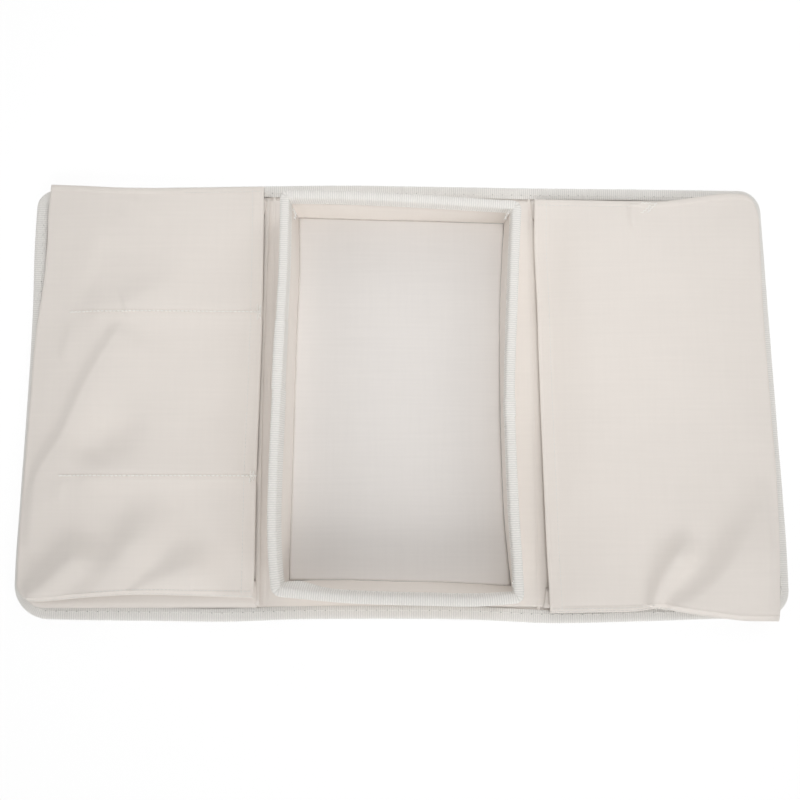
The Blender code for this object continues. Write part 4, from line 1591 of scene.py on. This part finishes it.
@dataclass(frozen=True)
class PocketShape:
    """What differs between the two pockets. Lines run from the mouth outwards, and from near to far.

    The foot is where the gusset is sewn down, the pleat is where it folds back, and the tabs are how
    far its ends stick out at the mouth: each near and far, in millimetres. The drop is how much lower
    the outer edge lies, and the sag is that of the mouth.
    """

    mouth: Line
    outer: Line
    near: Line
    far: Line
    creases: tuple[Crease, ...]
    dividers: tuple[float, ...]
    foot: tuple[float, float]
    pleat: tuple[float, float]
    tabs: tuple[float, float]
    edge_rows: tuple[EdgeRow, ...]
    tacks: tuple[Pairs, Pairs]
    drop: float
    sag: float
    seed: int


LEFT_POCKET = PocketShape(
    mouth=Line(((-114.5, -157.2), (-114.2, -128), (-114.2, -82), (-113.7, -35), (-112.7, 20),
                (-112.3, 61), (-112.7, 120), (-113.6, 174.0))),
    outer=Line(((-291.6, -156.4), (-295.9, -150.8), (-297.1, -139), (-297.3, -116.8), (-296.8, -82.3),
                (-296.1, -43.4), (-295.3, -3.8), (-294.0, 50), (-292.0, 74), (-290.0, 96),
                (-289.2, 127.6), (-289.7, 153.0), (-288.6, 175.8))),
    near=Line(((-114.5, -157.2), (-160, -155.6), (-203.6, -154.7), (-245, -156.8), (-280.3, -159.6),
               (-287.3, -159.2), (-291.6, -156.4))),
    far=Line(((-113.6, 174.0), (-160, 172.8), (-207.3, 172.4), (-240, 172.9), (-263.8, 174.5),
              (-288.6, 175.8))),
    creases=(
        Crease(((-218.8, 63.2), (-234.2, 36.2), (-246.5, 14.4), (-253.6, -1.6), (-266.0, -32.6),
                (-279.5, -54.5), (-286.4, -69.3), (-298.0, -95.0), (-308.0, -118.0)),
                4.4, 26, 7, 0.1, 0.05),
        Crease(((-255.8, 72.1), (-250.1, 85.3), (-244.5, 101.4), (-238.1, 117.9), (-231.2, 142.4)),
                -2.4, 9, 26),
        Crease(((-230.2, 139.0), (-221.2, 155.2), (-215.2, 166.3)), 1.1, 9, 9),
        Crease(((-205.3, 142.5), (-196.1, 156.1), (-190.0, 166.4)), 0.6, 9, 9),
        Crease(((-224.8, 73.0), (-207.5, 79.7), (-188.6, 87.2), (-165.0, 100.6)),
                3.0, 16, 26, 0.05, 0.4, 0.5),
        Crease(((-263.7, 62.2), (-267.1, 44.2), (-270.8, 25.6)), 1.0, 10, 4),
        Crease(((-256.3, -63.0), (-212.7, -62.2), (-166.1, -62.0), (-112.4, -62.0)),
                2.4, 26, 10, 0.12, 0.12),
        Crease(((-259.3, 69.0), (-212.7, 69.4), (-166.1, 69.4), (-111.4, 69.4)), 1.7, 22, 10, 0.12, 0.12),
        Crease(((-255.0, -58.4), (-242.2, -39.9), (-221.6, -22.7), (-203.5, -10.3)),
                -7.0, 26, 20, 0.30, 0.5, 0.6),
        Crease(((-264.9, -66.2), (-266.8, -87.0)), 1.0, 3.6, 8),
        Crease(((-248.8, -172.8), (-233.6, -153.0), (-222.2, -138.2), (-205.1, -117.4), (-190.8, -99.4),
                (-176.3, -81.2)), 10.5, 17, 24, 0.05, 0.42),
        Crease(((-208.1, -154.5), (-187.9, -145.1), (-164.1, -137.2), (-131.9, -134.7)),
                11.0, 16, 20, 0.02, 0.5, 0.2),
        Crease(((-290.0, -160.1), (-275.5, -150.0), (-258.4, -135.3), (-241.1, -120.4),
                (-232.0, -111.0)), 11.0, 13, 15, 0.02, 0.35, 0.7),
    ),
    dividers=(67.6, -63.6),
    foot=(-164.7, 165.5),
    pleat=(-143.0, 149.9),
    tabs=(2.0, 1.8),
    edge_rows=(EdgeRow(False, 1.2, 0.01, 0.985), EdgeRow(False, 5.0, 0.02, 0.66),
               EdgeRow(True, 4.3, 0.02, 0.36)),
    tacks=(((-116.4, 73.6), (-116.2, 62.0), (-113.9, 72.8), (-113.9, 62.8)),
           ((-118.6, -60.2), (-119.2, -68.2), (-116.4, -60.8), (-116.8, -67.6))),
    drop=2.4,
    sag=0.0,
    seed=3,
)

RIGHT_POCKET = PocketShape(
    mouth=Line(((113.2, -169.0), (113.0, -159.2), (111.7, -128.8), (110.8, -82.5), (109.8, -3.3),
                (109.0, 78.7), (108.2, 125), (108.9, 164.2))),
    outer=Line(((290.7, -175.9), (292.6, -165), (292.9, -157), (294.6, -129.1), (296.0, -66.9),
                (294.9, -3.0), (293.9, 70.9), (294.6, 130), (294.4, 154), (290.8, 165.0))),
    near=Line(((113.2, -169.0), (151.8, -168.5), (183, -167.6), (195.0, -166.0), (213.7, -168.5),
               (229.1, -171.1), (244.5, -173.0), (259.9, -175.0), (290.7, -175.9))),
    far=Line(((108.9, 164.2), (150, 163.6), (189.7, 162.9), (209.7, 162.4), (229.8, 164.6),
              (246.6, 167.2), (275.9, 170.3), (285.5, 169.0), (290.8, 165.0))),
    creases=(
        Crease(((191.6, -165.2), (195.1, -155.5), (199.4, -145.6), (205.3, -135.8), (217.8, -119.7),
                (231.7, -107.5)),
               8.0, 9.5, 13, 0.02, 0.40, 0.5),
        Crease(((205, -168), (228, -157), (248, -140), (262, -122), (274, -104), (286, -84), (300, -58)),
                11.0, 18, 50, 0.02, 0.55, 0.5),
        Crease(((189.0, 163.0), (189.6, 142.6), (194.6, 128.7)), 1.6, 5, 2.5, 0.02, 0.5),
        Crease(((258.0, 150.0), (276.0, 140.0), (291.0, 118.0)), 1.5, 16, 20),
    ),
    dividers=(),
    foot=(-165.5, 165.0),
    pleat=(-150.0, 147.0),
    tabs=(4.25, 2.2),
    edge_rows=(EdgeRow(False, 1.0, 0.01, 0.985), EdgeRow(False, 3.0, 0.02, 0.44),
               EdgeRow(True, 5.1, 0.02, 0.42)),
    tacks=(((195.2, -166.0), (201.0, -166.8), (207.6, -166.2)),
           ((197.4, 152.8), (204.6, 158.6), (202.6, 153.6), (209.4, 160.6), (198.0, 161.4))),
    drop=1.0,
    sag=3.2,
    seed=8,
)


@dataclass
class Pocket:
    """A flat pocket on one flap: a front, a pleated gusset and what is sewn through them.

    Each press is how deep the front sinks and how wide, and each slack wave is (length, height), all
    in millimetres. The sag and the crown start and stop at shares of the front.
    """

    shop: Workshop
    side: Side
    shape: PocketShape
    cloth: float = 0.5 * MM
    edge_z: float = 9.1 * MM
    crown: float = 2.6 * MM
    wide: float = 180 * MM
    long: float = 330 * MM
    slack_end: float = 16 * MM
    slack_side: float = 14 * MM
    slack_waves: Pairs = ((90, 0.34), (48, 0.20), (21, 0.06))
    crease_end: float = 4 * MM
    crease_side: float = 12 * MM
    drop_reach: float = 52 * MM
    sag_reach: float = 45 * MM
    sag_start: float = 0.2
    sag_run: float = 0.3
    sag_stop: float = 0.12
    crown_side: float = 0.3
    hem: float = 10.4 * MM
    hem_step: float = 0.40 * MM
    hem_seam: float = 0.9 * MM
    hem_turn: float = 3.0 * MM
    fold: float = 4.4 * MM
    seam_press: Point = (0.25, 0.8)
    turn_press: Point = (0.15, 0.6)
    lip_press: Point = (0.35, 1.6)
    edge_press: Point = (0.5, 2.0)
    seam_depth: float = 0.42 * MM
    seam_start: float = 32 * MM
    seam_fade: float = 14 * MM
    seam_half: float = 1.5 * MM
    pleat_z: float = 6.5 * MM
    pleat_depth: float = 18 * MM
    foot_z: float = 4.0 * MM
    foot_outer: float = 289.8 * MM
    gusset_gap: float = 0.15 * MM
    knots: tuple[float, ...] = (0.0, 0.27, 0.73, 1.0)
    front_flat: Point = (0.19, 0.34)
    gusset_flat: Point = (0.046, 0.68)
    gusset_u: Point = (0.003, 0.9965)
    gusset_v: Point = (0.0022, 0.9978)
    upper_bulge: float = 0.35 * MM
    lower_bulge: float = 0.25 * MM
    divider_x: Point = (-115.0, -265.0)
    inner_tack_x: Point = (-258.0, -266.7)
    front_cut: Spacing = Spacing(1.5 * MM, 0.6 * MM, 6 * MM)

    @property
    def body(self) -> str:
        """The body the pocket rides on."""
        return f"{self.side.word}_flap"

    def build(self) -> None:
        """Makes every piece of the pocket."""
        self._front()
        self._gusset()
        self._edge_stitches()
        if self.side is Side.LEFT:
            Lining(self.shop, self.shape.dividers, self.cloth).build()
            self._dividers()
        else:
            self._tacks()

    def _plan(self, u: Array, v: Array) -> Array:
        """Plan points of the front, from its four edges.

        Args:
            u: From 0 at the mouth to 1 at the outer edge.
            v: From 0 at the near edge to 1 at the far edge.

        Returns:
            Plan points in metres.
        """
        u, v = np.broadcast_arrays(u, v)
        shape = self.shape
        return patch(u, v, (shape.mouth.at, shape.outer.at), (shape.near.at, shape.far.at))

    def surface(self, u: Array, v: Array) -> Array:
        """Points on the front's upper face.

        Args:
            u: From 0 at the mouth to 1 at the outer edge.
            v: From 0 at the near edge to 1 at the far edge.

        Returns:
            Points in metres.
        """
        u, v = np.broadcast_arrays(np.asarray(u, float), np.asarray(v, float))
        plan = self._plan(u, v)
        x, y = plan[..., 0], plan[..., 1]
        mouth, side, ends = u * self.wide, (1 - u) * self.wide, np.minimum(v, 1 - v) * self.long
        crown = (1 - (2 * v - 1) ** 4) * (0.5 + 0.5 * np.sin(math.pi * u)) * ease((1 - u) / self.crown_side)
        slack = self._slack(x, y) * ease(ends / self.slack_end) * ease(side / self.slack_side)
        drop = self.shape.drop * MM * (1 - ease(side / self.drop_reach))
        sag = self.shape.sag * MM * ease((v - self.sag_start) / self.sag_run)
        sag = sag * ease((1 - v) / self.sag_stop)
        sag = sag * (1 - ease(mouth / self.sag_reach))
        z = self.edge_z + self.crown * crown + slack - drop - sag
        free = ease(ends / self.crease_end) * ease(side / self.crease_side)
        for crease in self.shape.creases:
            z = z + crease.lift(x, y) * free
        z = z - self._sewn_down(x, y) + self._turned(u, v) - self._pressed(mouth, side, ends)
        return at_height(plan, z)

    def _sewn_down(self, x: Array, y: Array) -> Array:
        """How far the dividing seams pull the front down."""
        start = abs(self._plan(1.0, 0.5)[0]) - self.seam_start
        inside = ease((start - abs(x)) / self.seam_fade)
        rows = [bell(y - divider * MM, self.seam_half) for divider in self.shape.dividers]
        return self.seam_depth * inside * sum(rows)

    def _turned(self, u: Array, v: Array) -> Array:
        """Extra thickness where the cloth is turned in: the hem at the mouth, and the sewn edges."""
        hem = 1 - ease((u * self.wide - self.hem + 0.6 * MM) / (1.4 * MM))
        edges = 1 - ease((np.minimum(v, 1 - v) * self.long - self.fold + 0.5 * MM) / (1.2 * MM))
        return self.hem_step * np.maximum(hem, edges)

    def _pressed(self, mouth: Array, side: Array, ends: Array) -> Array:
        """How far the front sinks at the hem's seam and turn, and rounds off at its edges.

        Args:
            mouth: Distance in from the mouth.
            side: Distance in from the outer edge.
            ends: Distance in from the nearer of the near and far edges.

        Returns:
            The depth at each place, in metres.
        """
        depth = 0.0
        seam, turn = mouth - self.hem + self.hem_seam, mouth - self.hem_turn
        for away, (deep, half) in ((seam, self.seam_press), (turn, self.turn_press)):
            depth = depth + deep * MM * bell(away, half * MM)
        edges = ((mouth, self.lip_press), (ends, self.edge_press), (side, self.edge_press))
        for away, (deep, run) in edges:
            depth = depth + deep * MM * (1 - ease(away / (run * MM)))
        return depth

    def _slack(self, x: Array, y: Array) -> Array:
        """Broad uneven slackness of the cloth, the same each run."""
        chance = np.random.default_rng(self.shape.seed)
        total = np.zeros(np.shape(x))
        for length, amount in self.slack_waves:
            for _ in range(5):
                angle, phase = chance.uniform(0, math.pi), chance.uniform(0, 2 * math.pi)
                along = x * math.cos(angle) + y * math.sin(angle)
                total = total + amount * MM * 0.45 * np.sin(2 * math.pi * along / (length * MM) + phase)
        return total

    def _line(self, start: Point, stop: Point, count: int) -> tuple[Array, Array]:
        """A straight sewing row between two plan points.

        Args:
            start: Its first point, in millimetres.
            stop: Its last point, in millimetres.
            count: How many points to give.

        Returns:
            The row's points, and the way the cloth faces at each.
        """
        points = np.linspace(start, stop, count) * MM
        u, v = np.full(count, 0.5), np.full(count, 0.5)
        for _ in range(12):
            gap = points - self._plan(u, v)
            across = self._plan(1.0, v) - self._plan(0.0, v)
            along = self._plan(u, 1.0) - self._plan(u, 0.0)
            u = u + gap[:, 0] / across[:, 0]
            v = v + gap[:, 1] / along[:, 1]
        return self._row(u, v)

    def _row(self, u: Array, v: Array) -> tuple[Array, Array]:
        """A sewing row on the front: its points and the way the cloth faces."""
        u, v = np.broadcast_arrays(u, v)
        across = self.surface(np.clip(u + NUDGE, 0, 1), v) - self.surface(np.clip(u - NUDGE, 0, 1), v)
        along = self.surface(u, np.clip(v + NUDGE, 0, 1)) - self.surface(u, np.clip(v - NUDGE, 0, 1))
        face = unit(np.cross(across, along))
        return self.surface(u, v), face * np.sign(face[..., 2:])

    def _sew(self, what: str, rows: list[tuple[Array, Array]], sewing: Sewing, *stands_for: str) -> None:
        """Sews rows through the pocket and hands them over as one piece."""
        stitches = self.shop.sew(f"{self.side.word}_pocket_{what}", rows, sewing)
        self.shop.hand_over(stitches, Slot.THREAD, self.body, *stands_for)

    def _front(self) -> None:
        """The front, with its hem at the mouth."""
        u = self.front_cut.stations(0, self.wide, 0.0, self.hem, self.wide) / self.wide
        v = self.front_cut.stations(0, self.long, 0.0, self.long) / self.long
        u, v = np.meshgrid(u, v, indexing="ij")
        top = self.surface(u, v)
        thickness = self.cloth + self._turned(u, v)
        front = cloth_sheet(f"{self.side.word}_pocket_face", top, thickness, top[..., :2])
        self.shop.hand_over(front, Slot.CLOTH, self.body, f"{self.side.word}_pocket_front")
        seam = self._row((self.hem - self.hem_seam) / self.wide, np.linspace(0.012, 0.988, 160))
        self._sew("hem_stitches", [seam], TOPSTITCH)

    def _edge_stitches(self) -> None:
        """Topstitching along the pocket's near and far edges."""
        rows = []
        for row in self.shape.edge_rows:
            v = row.inset * MM / self.long
            rows.append(self._row(np.linspace(row.start, row.stop, 90), 1 - v if row.is_far else v))
        self._sew("edge_stitches", rows, TOPSTITCH)

    def _gusset(self) -> None:
        """Pleated strip under the front's three sewn edges, folded once between its top and its foot."""
        count, shape = 240, self.shape
        share = np.linspace(0, 1, count)
        u = np.interp(share, self.knots, [0.0, 1.0, 1.0, 0.0])
        v = np.interp(share, self.knots, [0.0, 0.0, 1.0, 1.0])
        top = self.surface(np.interp(u, (0, 1), self.gusset_u), np.interp(v, (0, 1), self.gusset_v))
        top[..., 2] -= self.cloth + self.hem_step + self.gusset_gap
        wave = (0.25 * np.sin(share * 61) + 0.2 * np.sin(share * 23 + 1)) * MM
        lowered = 0.6 * shape.drop * MM * ease((u - 0.7) / 0.3)
        foot = at_height(self._gusset_line(share, self.foot_outer, shape.foot, 1.0), self.foot_z)
        pleat = self._gusset_line(share, self.foot_outer - self.pleat_depth, shape.pleat, 0.4)
        pleat = at_height(pleat, self.pleat_z + wave - lowered)
        down = np.linspace(0, 1, 6)[:, None, None]
        upper = top + (pleat - top) * down
        lower = pleat + (foot - pleat) * down
        upper[..., 2] += self.upper_bulge * np.sin(math.pi * down[..., 0])
        lower[..., 2] -= self.lower_bulge * np.sin(math.pi * down[..., 0])
        grid = np.concatenate([upper[:-1], pleat[None], lower[1:]]).swapaxes(0, 1)
        normal = unit(np.cross(np.gradient(grid, axis=0), np.gradient(grid, axis=1)))
        skins = grid + normal * self.cloth / 2, grid - normal * self.cloth / 2
        uv = joined(share[:, None] * self.gusset_flat[1], run_along(grid[count // 2]))
        pleats = double_skin(f"{self.side.word}_pocket_pleats", *skins, uv)
        self.shop.hand_over(pleats, Slot.CLOTH, self.body, f"{self.side.word}_pocket_gusset")

    def _gusset_line(self, share: Array, outer: float, levels: Point, stick: float) -> Array:
        """A line of the gusset round three sides.

        Args:
            share: Along the gusset, from 0 at the near end to 1 at the far end.
            outer: How far out the line runs along the outer edge.
            levels: The y of its near and far runs, in millimetres.
            stick: How much of the tabs shows at the mouth.

        Returns:
            Plan points with rounded corners.
        """
        mouth = abs(self.shape.mouth.at(np.array([0.0, 1.0]))[:, 0]) - np.array(self.shape.tabs) * MM * stick
        x = np.array([mouth[0], outer, outer, mouth[1]]) * self.side.value
        y = np.repeat(levels, 2) * MM
        rows = joined(np.interp(share, self.knots, x), np.interp(share, self.knots, y))
        return softened(rows, 3.0, closed=False)

    def _dividers(self) -> None:
        """The two rows sewn through the divided pocket, each with a bar tack at the mouth."""
        for divider, mouth_tack, word in zip(self.shape.dividers, self.shape.tacks, ("far", "near")):
            (mouth_x, end_x), (tack_x, tack_end_x) = self.divider_x, self.inner_tack_x
            seam = self._line((mouth_x, divider), (end_x, divider), 90)
            self._sew(f"divider_{word}", [seam], DIVIDER_STITCH, f"left_pocket_divider_seam_{word}")
            rows = [self._line(start, stop, 14) for start, stop in zip(mouth_tack, mouth_tack[1:])]
            rows.append(self._line((tack_x, divider), (tack_end_x, divider), 12))
            self._sew(f"bar_tack_{word}", rows, MOUTH_TACK)

    def _tacks(self) -> None:
        """The tacks that pin the undivided pocket's edges down."""
        for word, turns in zip(("near", "far"), self.shape.tacks):
            rows = [self._line(start, stop, 24) for start, stop in zip(turns, turns[1:])]
            self._sew(f"bar_tack_{word}", rows, BARTACK, f"right_pocket_tack_{word}")


@dataclass
class Lining:
    """The divided pocket's back panel, which shows as a strip at the mouth."""

    shop: Workshop
    dividers: tuple[float, ...]
    cloth: float
    level: float = 4.65 * MM
    outer_x: float = -281 * MM
    hem: float = 2.6 * MM
    hem_step: float = 0.35 * MM
    curl_half: float = 3.5 * MM
    end_drop: float = 0.5 * MM
    seam_rise: float = 2.9 * MM
    seam_half: float = 7.5 * MM
    seam_stop: float = -262 * MM
    shown_share: float = 0.965
    flat: Point = (0.175, 0.315)
    cut: Spacing = Spacing(4 * MM, 1 * MM, 12 * MM)
    edge: Profile = Profile(((-160, -110.4), (-80, -110.9), (-3, -111.2), (80, -110.3), (160, -109.0)))

    def build(self) -> None:
        """Makes the panel."""
        y = self.cut.stations(-163 * MM, 165 * MM, *(divider * MM for divider in self.dividers))
        hidden = np.linspace(0, self.shown_share, 50)[:-1]
        across = np.concatenate([hidden, np.linspace(self.shown_share, 1, 12)])
        across, y = np.meshgrid(across, y, indexing="ij")
        edge = self.edge.at(y)
        x = self.outer_x + (edge - self.outer_x) * across
        inset = edge - x
        z = self.level + self.hem_step * (1 - ease((inset - self.hem) / (0.7 * MM)))
        sewn = ease((x - self.seam_stop) / (10 * MM)) * ease((inset - 0.5 * MM) / (6 * MM))
        for divider in self.dividers:
            z = z + self.seam_rise * bell(y - divider * MM, self.seam_half) * sewn
        z = z + (1.1 * MM + uneven(y, (0.2, 17))) * bell(inset, self.curl_half)
        z = z - self.end_drop * ease((abs(y) - 150 * MM) / (8 * MM))
        panel = cloth_sheet("left_pocket_lining", joined(x, y, z), self.cloth, joined(x, y))
        self.shop.hand_over(panel, Slot.CLOTH, "left_flap", "left_pocket_back_panel")


# The studio


@dataclass(frozen=True)
class Lamp:
    """One soft lamp of the studio, aimed at a point on the table."""

    name: str
    kind: str
    place: tuple[float, float, float]
    aim: tuple[float, float, float]
    power: float
    size: float
    cone: float = 0.42

    def hang(self) -> None:
        """Makes the lamp and points it at its aim."""
        data = bpy.data.lights.new(self.name, self.kind)
        data.energy = self.power
        if self.kind == "SPOT":
            data.shadow_soft_size = self.size
            data.spot_size = self.cone
            data.spot_blend = 1.0
        else:
            data.shape = "DISK"
            data.size = self.size
        lamp = placed(self.name, data)
        lamp.location = self.place
        way = Vector(self.aim) - Vector(self.place)
        lamp.rotation_euler = way.to_track_quat("-Z", "Y").to_euler()


@dataclass(frozen=True)
class Studio:
    """Camera, lamps, backdrop and floor of the photograph.

    The overhead lamps are (x, watts). The ring of low softboxes that stands for the light tent is
    (degrees round from +X, degrees up, watts). The floor's shares are how pale it looks to light that
    bounces, and how much clearer it is to the camera and to shadows.
    """

    distance: float = 0.71968
    tilt: float = 0.1513
    turn: float = -0.10525
    roll: float = -0.00114
    aim: tuple[float, float, float] = (-1.86 * MM, -2.05 * MM, 0.0)
    lens: float = 40.23
    fill: float = 0.20
    backdrop: float = 1.06
    overhead: tuple[Point, ...] = ((0.138, 44.0), (-0.108, 36.9))
    overhead_z: float = 2.2
    overhead_y: float = -0.10
    overhead_aim: float = 0.106
    overhead_size: float = 0.25
    ring: tuple[tuple[float, float, float], ...] = (
        (-90, 25, 14.6), (-45, 25, 8.2), (45, 25, 5.8), (45, 55, 4.3), (90, 25, 5.2), (135, 25, 2.2),
        (180, 25, 7.0),
    )
    ring_reach: float = 2.0
    ring_size: float = 1.0
    floor_z: float = -0.5 * MM
    floor_half: float = 3.0
    floor_colour: tuple[float, float, float, float] = (0.92, 0.92, 0.92, 1.0)
    floor_share: float = 0.8
    camera_share: float = 0.6
    shadow_share: float = 0.8

    def build(self) -> None:
        """Sets up the whole studio."""
        self._camera()
        self._world()
        self._lamps()
        self._floor()
        bpy.context.scene.view_settings.view_transform = "Standard"

    def _camera(self) -> None:
        """Camera at the photograph's angle."""
        lean = math.sin(self.tilt)
        back = Vector((lean * math.sin(self.turn), -lean * math.cos(self.turn), math.cos(self.tilt)))
        right = Vector((0, 1, 0)).cross(back).normalized()
        level = Matrix((right, back.cross(right), back)).transposed().to_4x4()
        data = bpy.data.cameras.new("photo_camera")
        data.sensor_width = 36.0
        data.lens = self.lens
        data.clip_start, data.clip_end = 0.01, 100.0
        camera = placed("photo_camera", data)
        place = Matrix.Translation(Vector(self.aim) + back * self.distance)
        camera.matrix_world = place @ level @ Matrix.Rotation(self.roll, 4, "Z")
        bpy.context.scene.camera = camera

    def _world(self) -> None:
        """Even white light, and a white backdrop where it is seen straight, in gloss or through glass."""
        world = bpy.data.worlds.new("studio")
        bpy.context.scene.world = world
        world.use_nodes = True
        graph = Graph(world.node_tree)
        path = graph.node("ShaderNodeLightPath")
        seen = Value(graph, path.outputs["Is Camera Ray"])
        for name in ("Is Glossy Ray", "Is Transmission Ray"):
            seen = seen.most(Value(graph, path.outputs[name]))
        strength = seen * (self.backdrop - self.fill) + self.fill
        shader = graph.value("ShaderNodeBackground", {}, {"Color": (1, 1, 1, 1), "Strength": strength})
        graph.node("ShaderNodeOutputWorld", {}, {"Surface": shader})

    def _lamps(self) -> None:
        """Two soft lamps overhead, and the ring of softboxes."""
        for i, (x, power) in enumerate(self.overhead):
            place, aim = (x, self.overhead_y, self.overhead_z), (x, self.overhead_aim, 0.0)
            Lamp(f"overhead_{i}", "SPOT", place, aim, power, self.overhead_size).hang()
        for i, (turn, rise, power) in enumerate(self.ring):
            turn, rise = math.radians(turn), math.radians(rise)
            way = Vector((math.cos(turn) * math.cos(rise), math.sin(turn) * math.cos(rise), math.sin(rise)))
            place = tuple(way * self.ring_reach)
            Lamp(f"softbox_{i}", "AREA", place, (0.0, 0.0, 0.0), power, self.ring_size).hang()

    def _floor(self) -> None:
        """Pale floor that shows the object's shadow on white."""
        mesh = bpy.data.meshes.new("floor")
        turns = ((-1, -1), (1, -1), (1, 1), (-1, 1))
        corners = [(x * self.floor_half, y * self.floor_half, self.floor_z) for x, y in turns]
        mesh.from_pydata(corners, [], [(0, 1, 2, 3)])
        material = bpy.data.materials.new("floor")
        material.use_nodes = True
        graph = Graph(material.node_tree)
        path = graph.node("ShaderNodeLightPath")
        camera = Value(graph, path.outputs["Is Camera Ray"])
        shadow = Value(graph, path.outputs["Is Shadow Ray"])
        pale = graph.value("ShaderNodeBsdfDiffuse", {}, {"Color": self.floor_colour})
        clear = graph.value("ShaderNodeBsdfTransparent")
        share = self.floor_share - camera * self.camera_share - shadow * self.shadow_share
        shader = graph.value("ShaderNodeMixShader", {}, {0: share, 1: clear, 2: pale})
        graph.node("ShaderNodeOutputMaterial", {}, {"Surface": shader})
        mesh.materials.append(material)
        placed("floor", mesh)


def dress_boards(shop: Workshop) -> None:
    """Gives the boards that stay CAD nodes their finish."""
    for name, node in frame["nodes"].items():
        if node.hide_render:
            continue
        node.data.materials.clear()
        node.data.materials.append(shop.finishes[Slot.BOARD])
        LOG.info("%s: kept from the frame", name)


def main() -> None:
    """Builds the organizer and its studio."""
    logging.basicConfig(level=logging.INFO, format="%(name)s: %(message)s")
    shop = Workshop.open()
    Studio().build()
    Mat(shop).build()
    Tray(shop).build()
    Pocket(shop, Side.LEFT, LEFT_POCKET).build()
    Pocket(shop, Side.RIGHT, RIGHT_POCKET).build()
    dress_boards(shop)


if __name__ == "__main__":
    main()
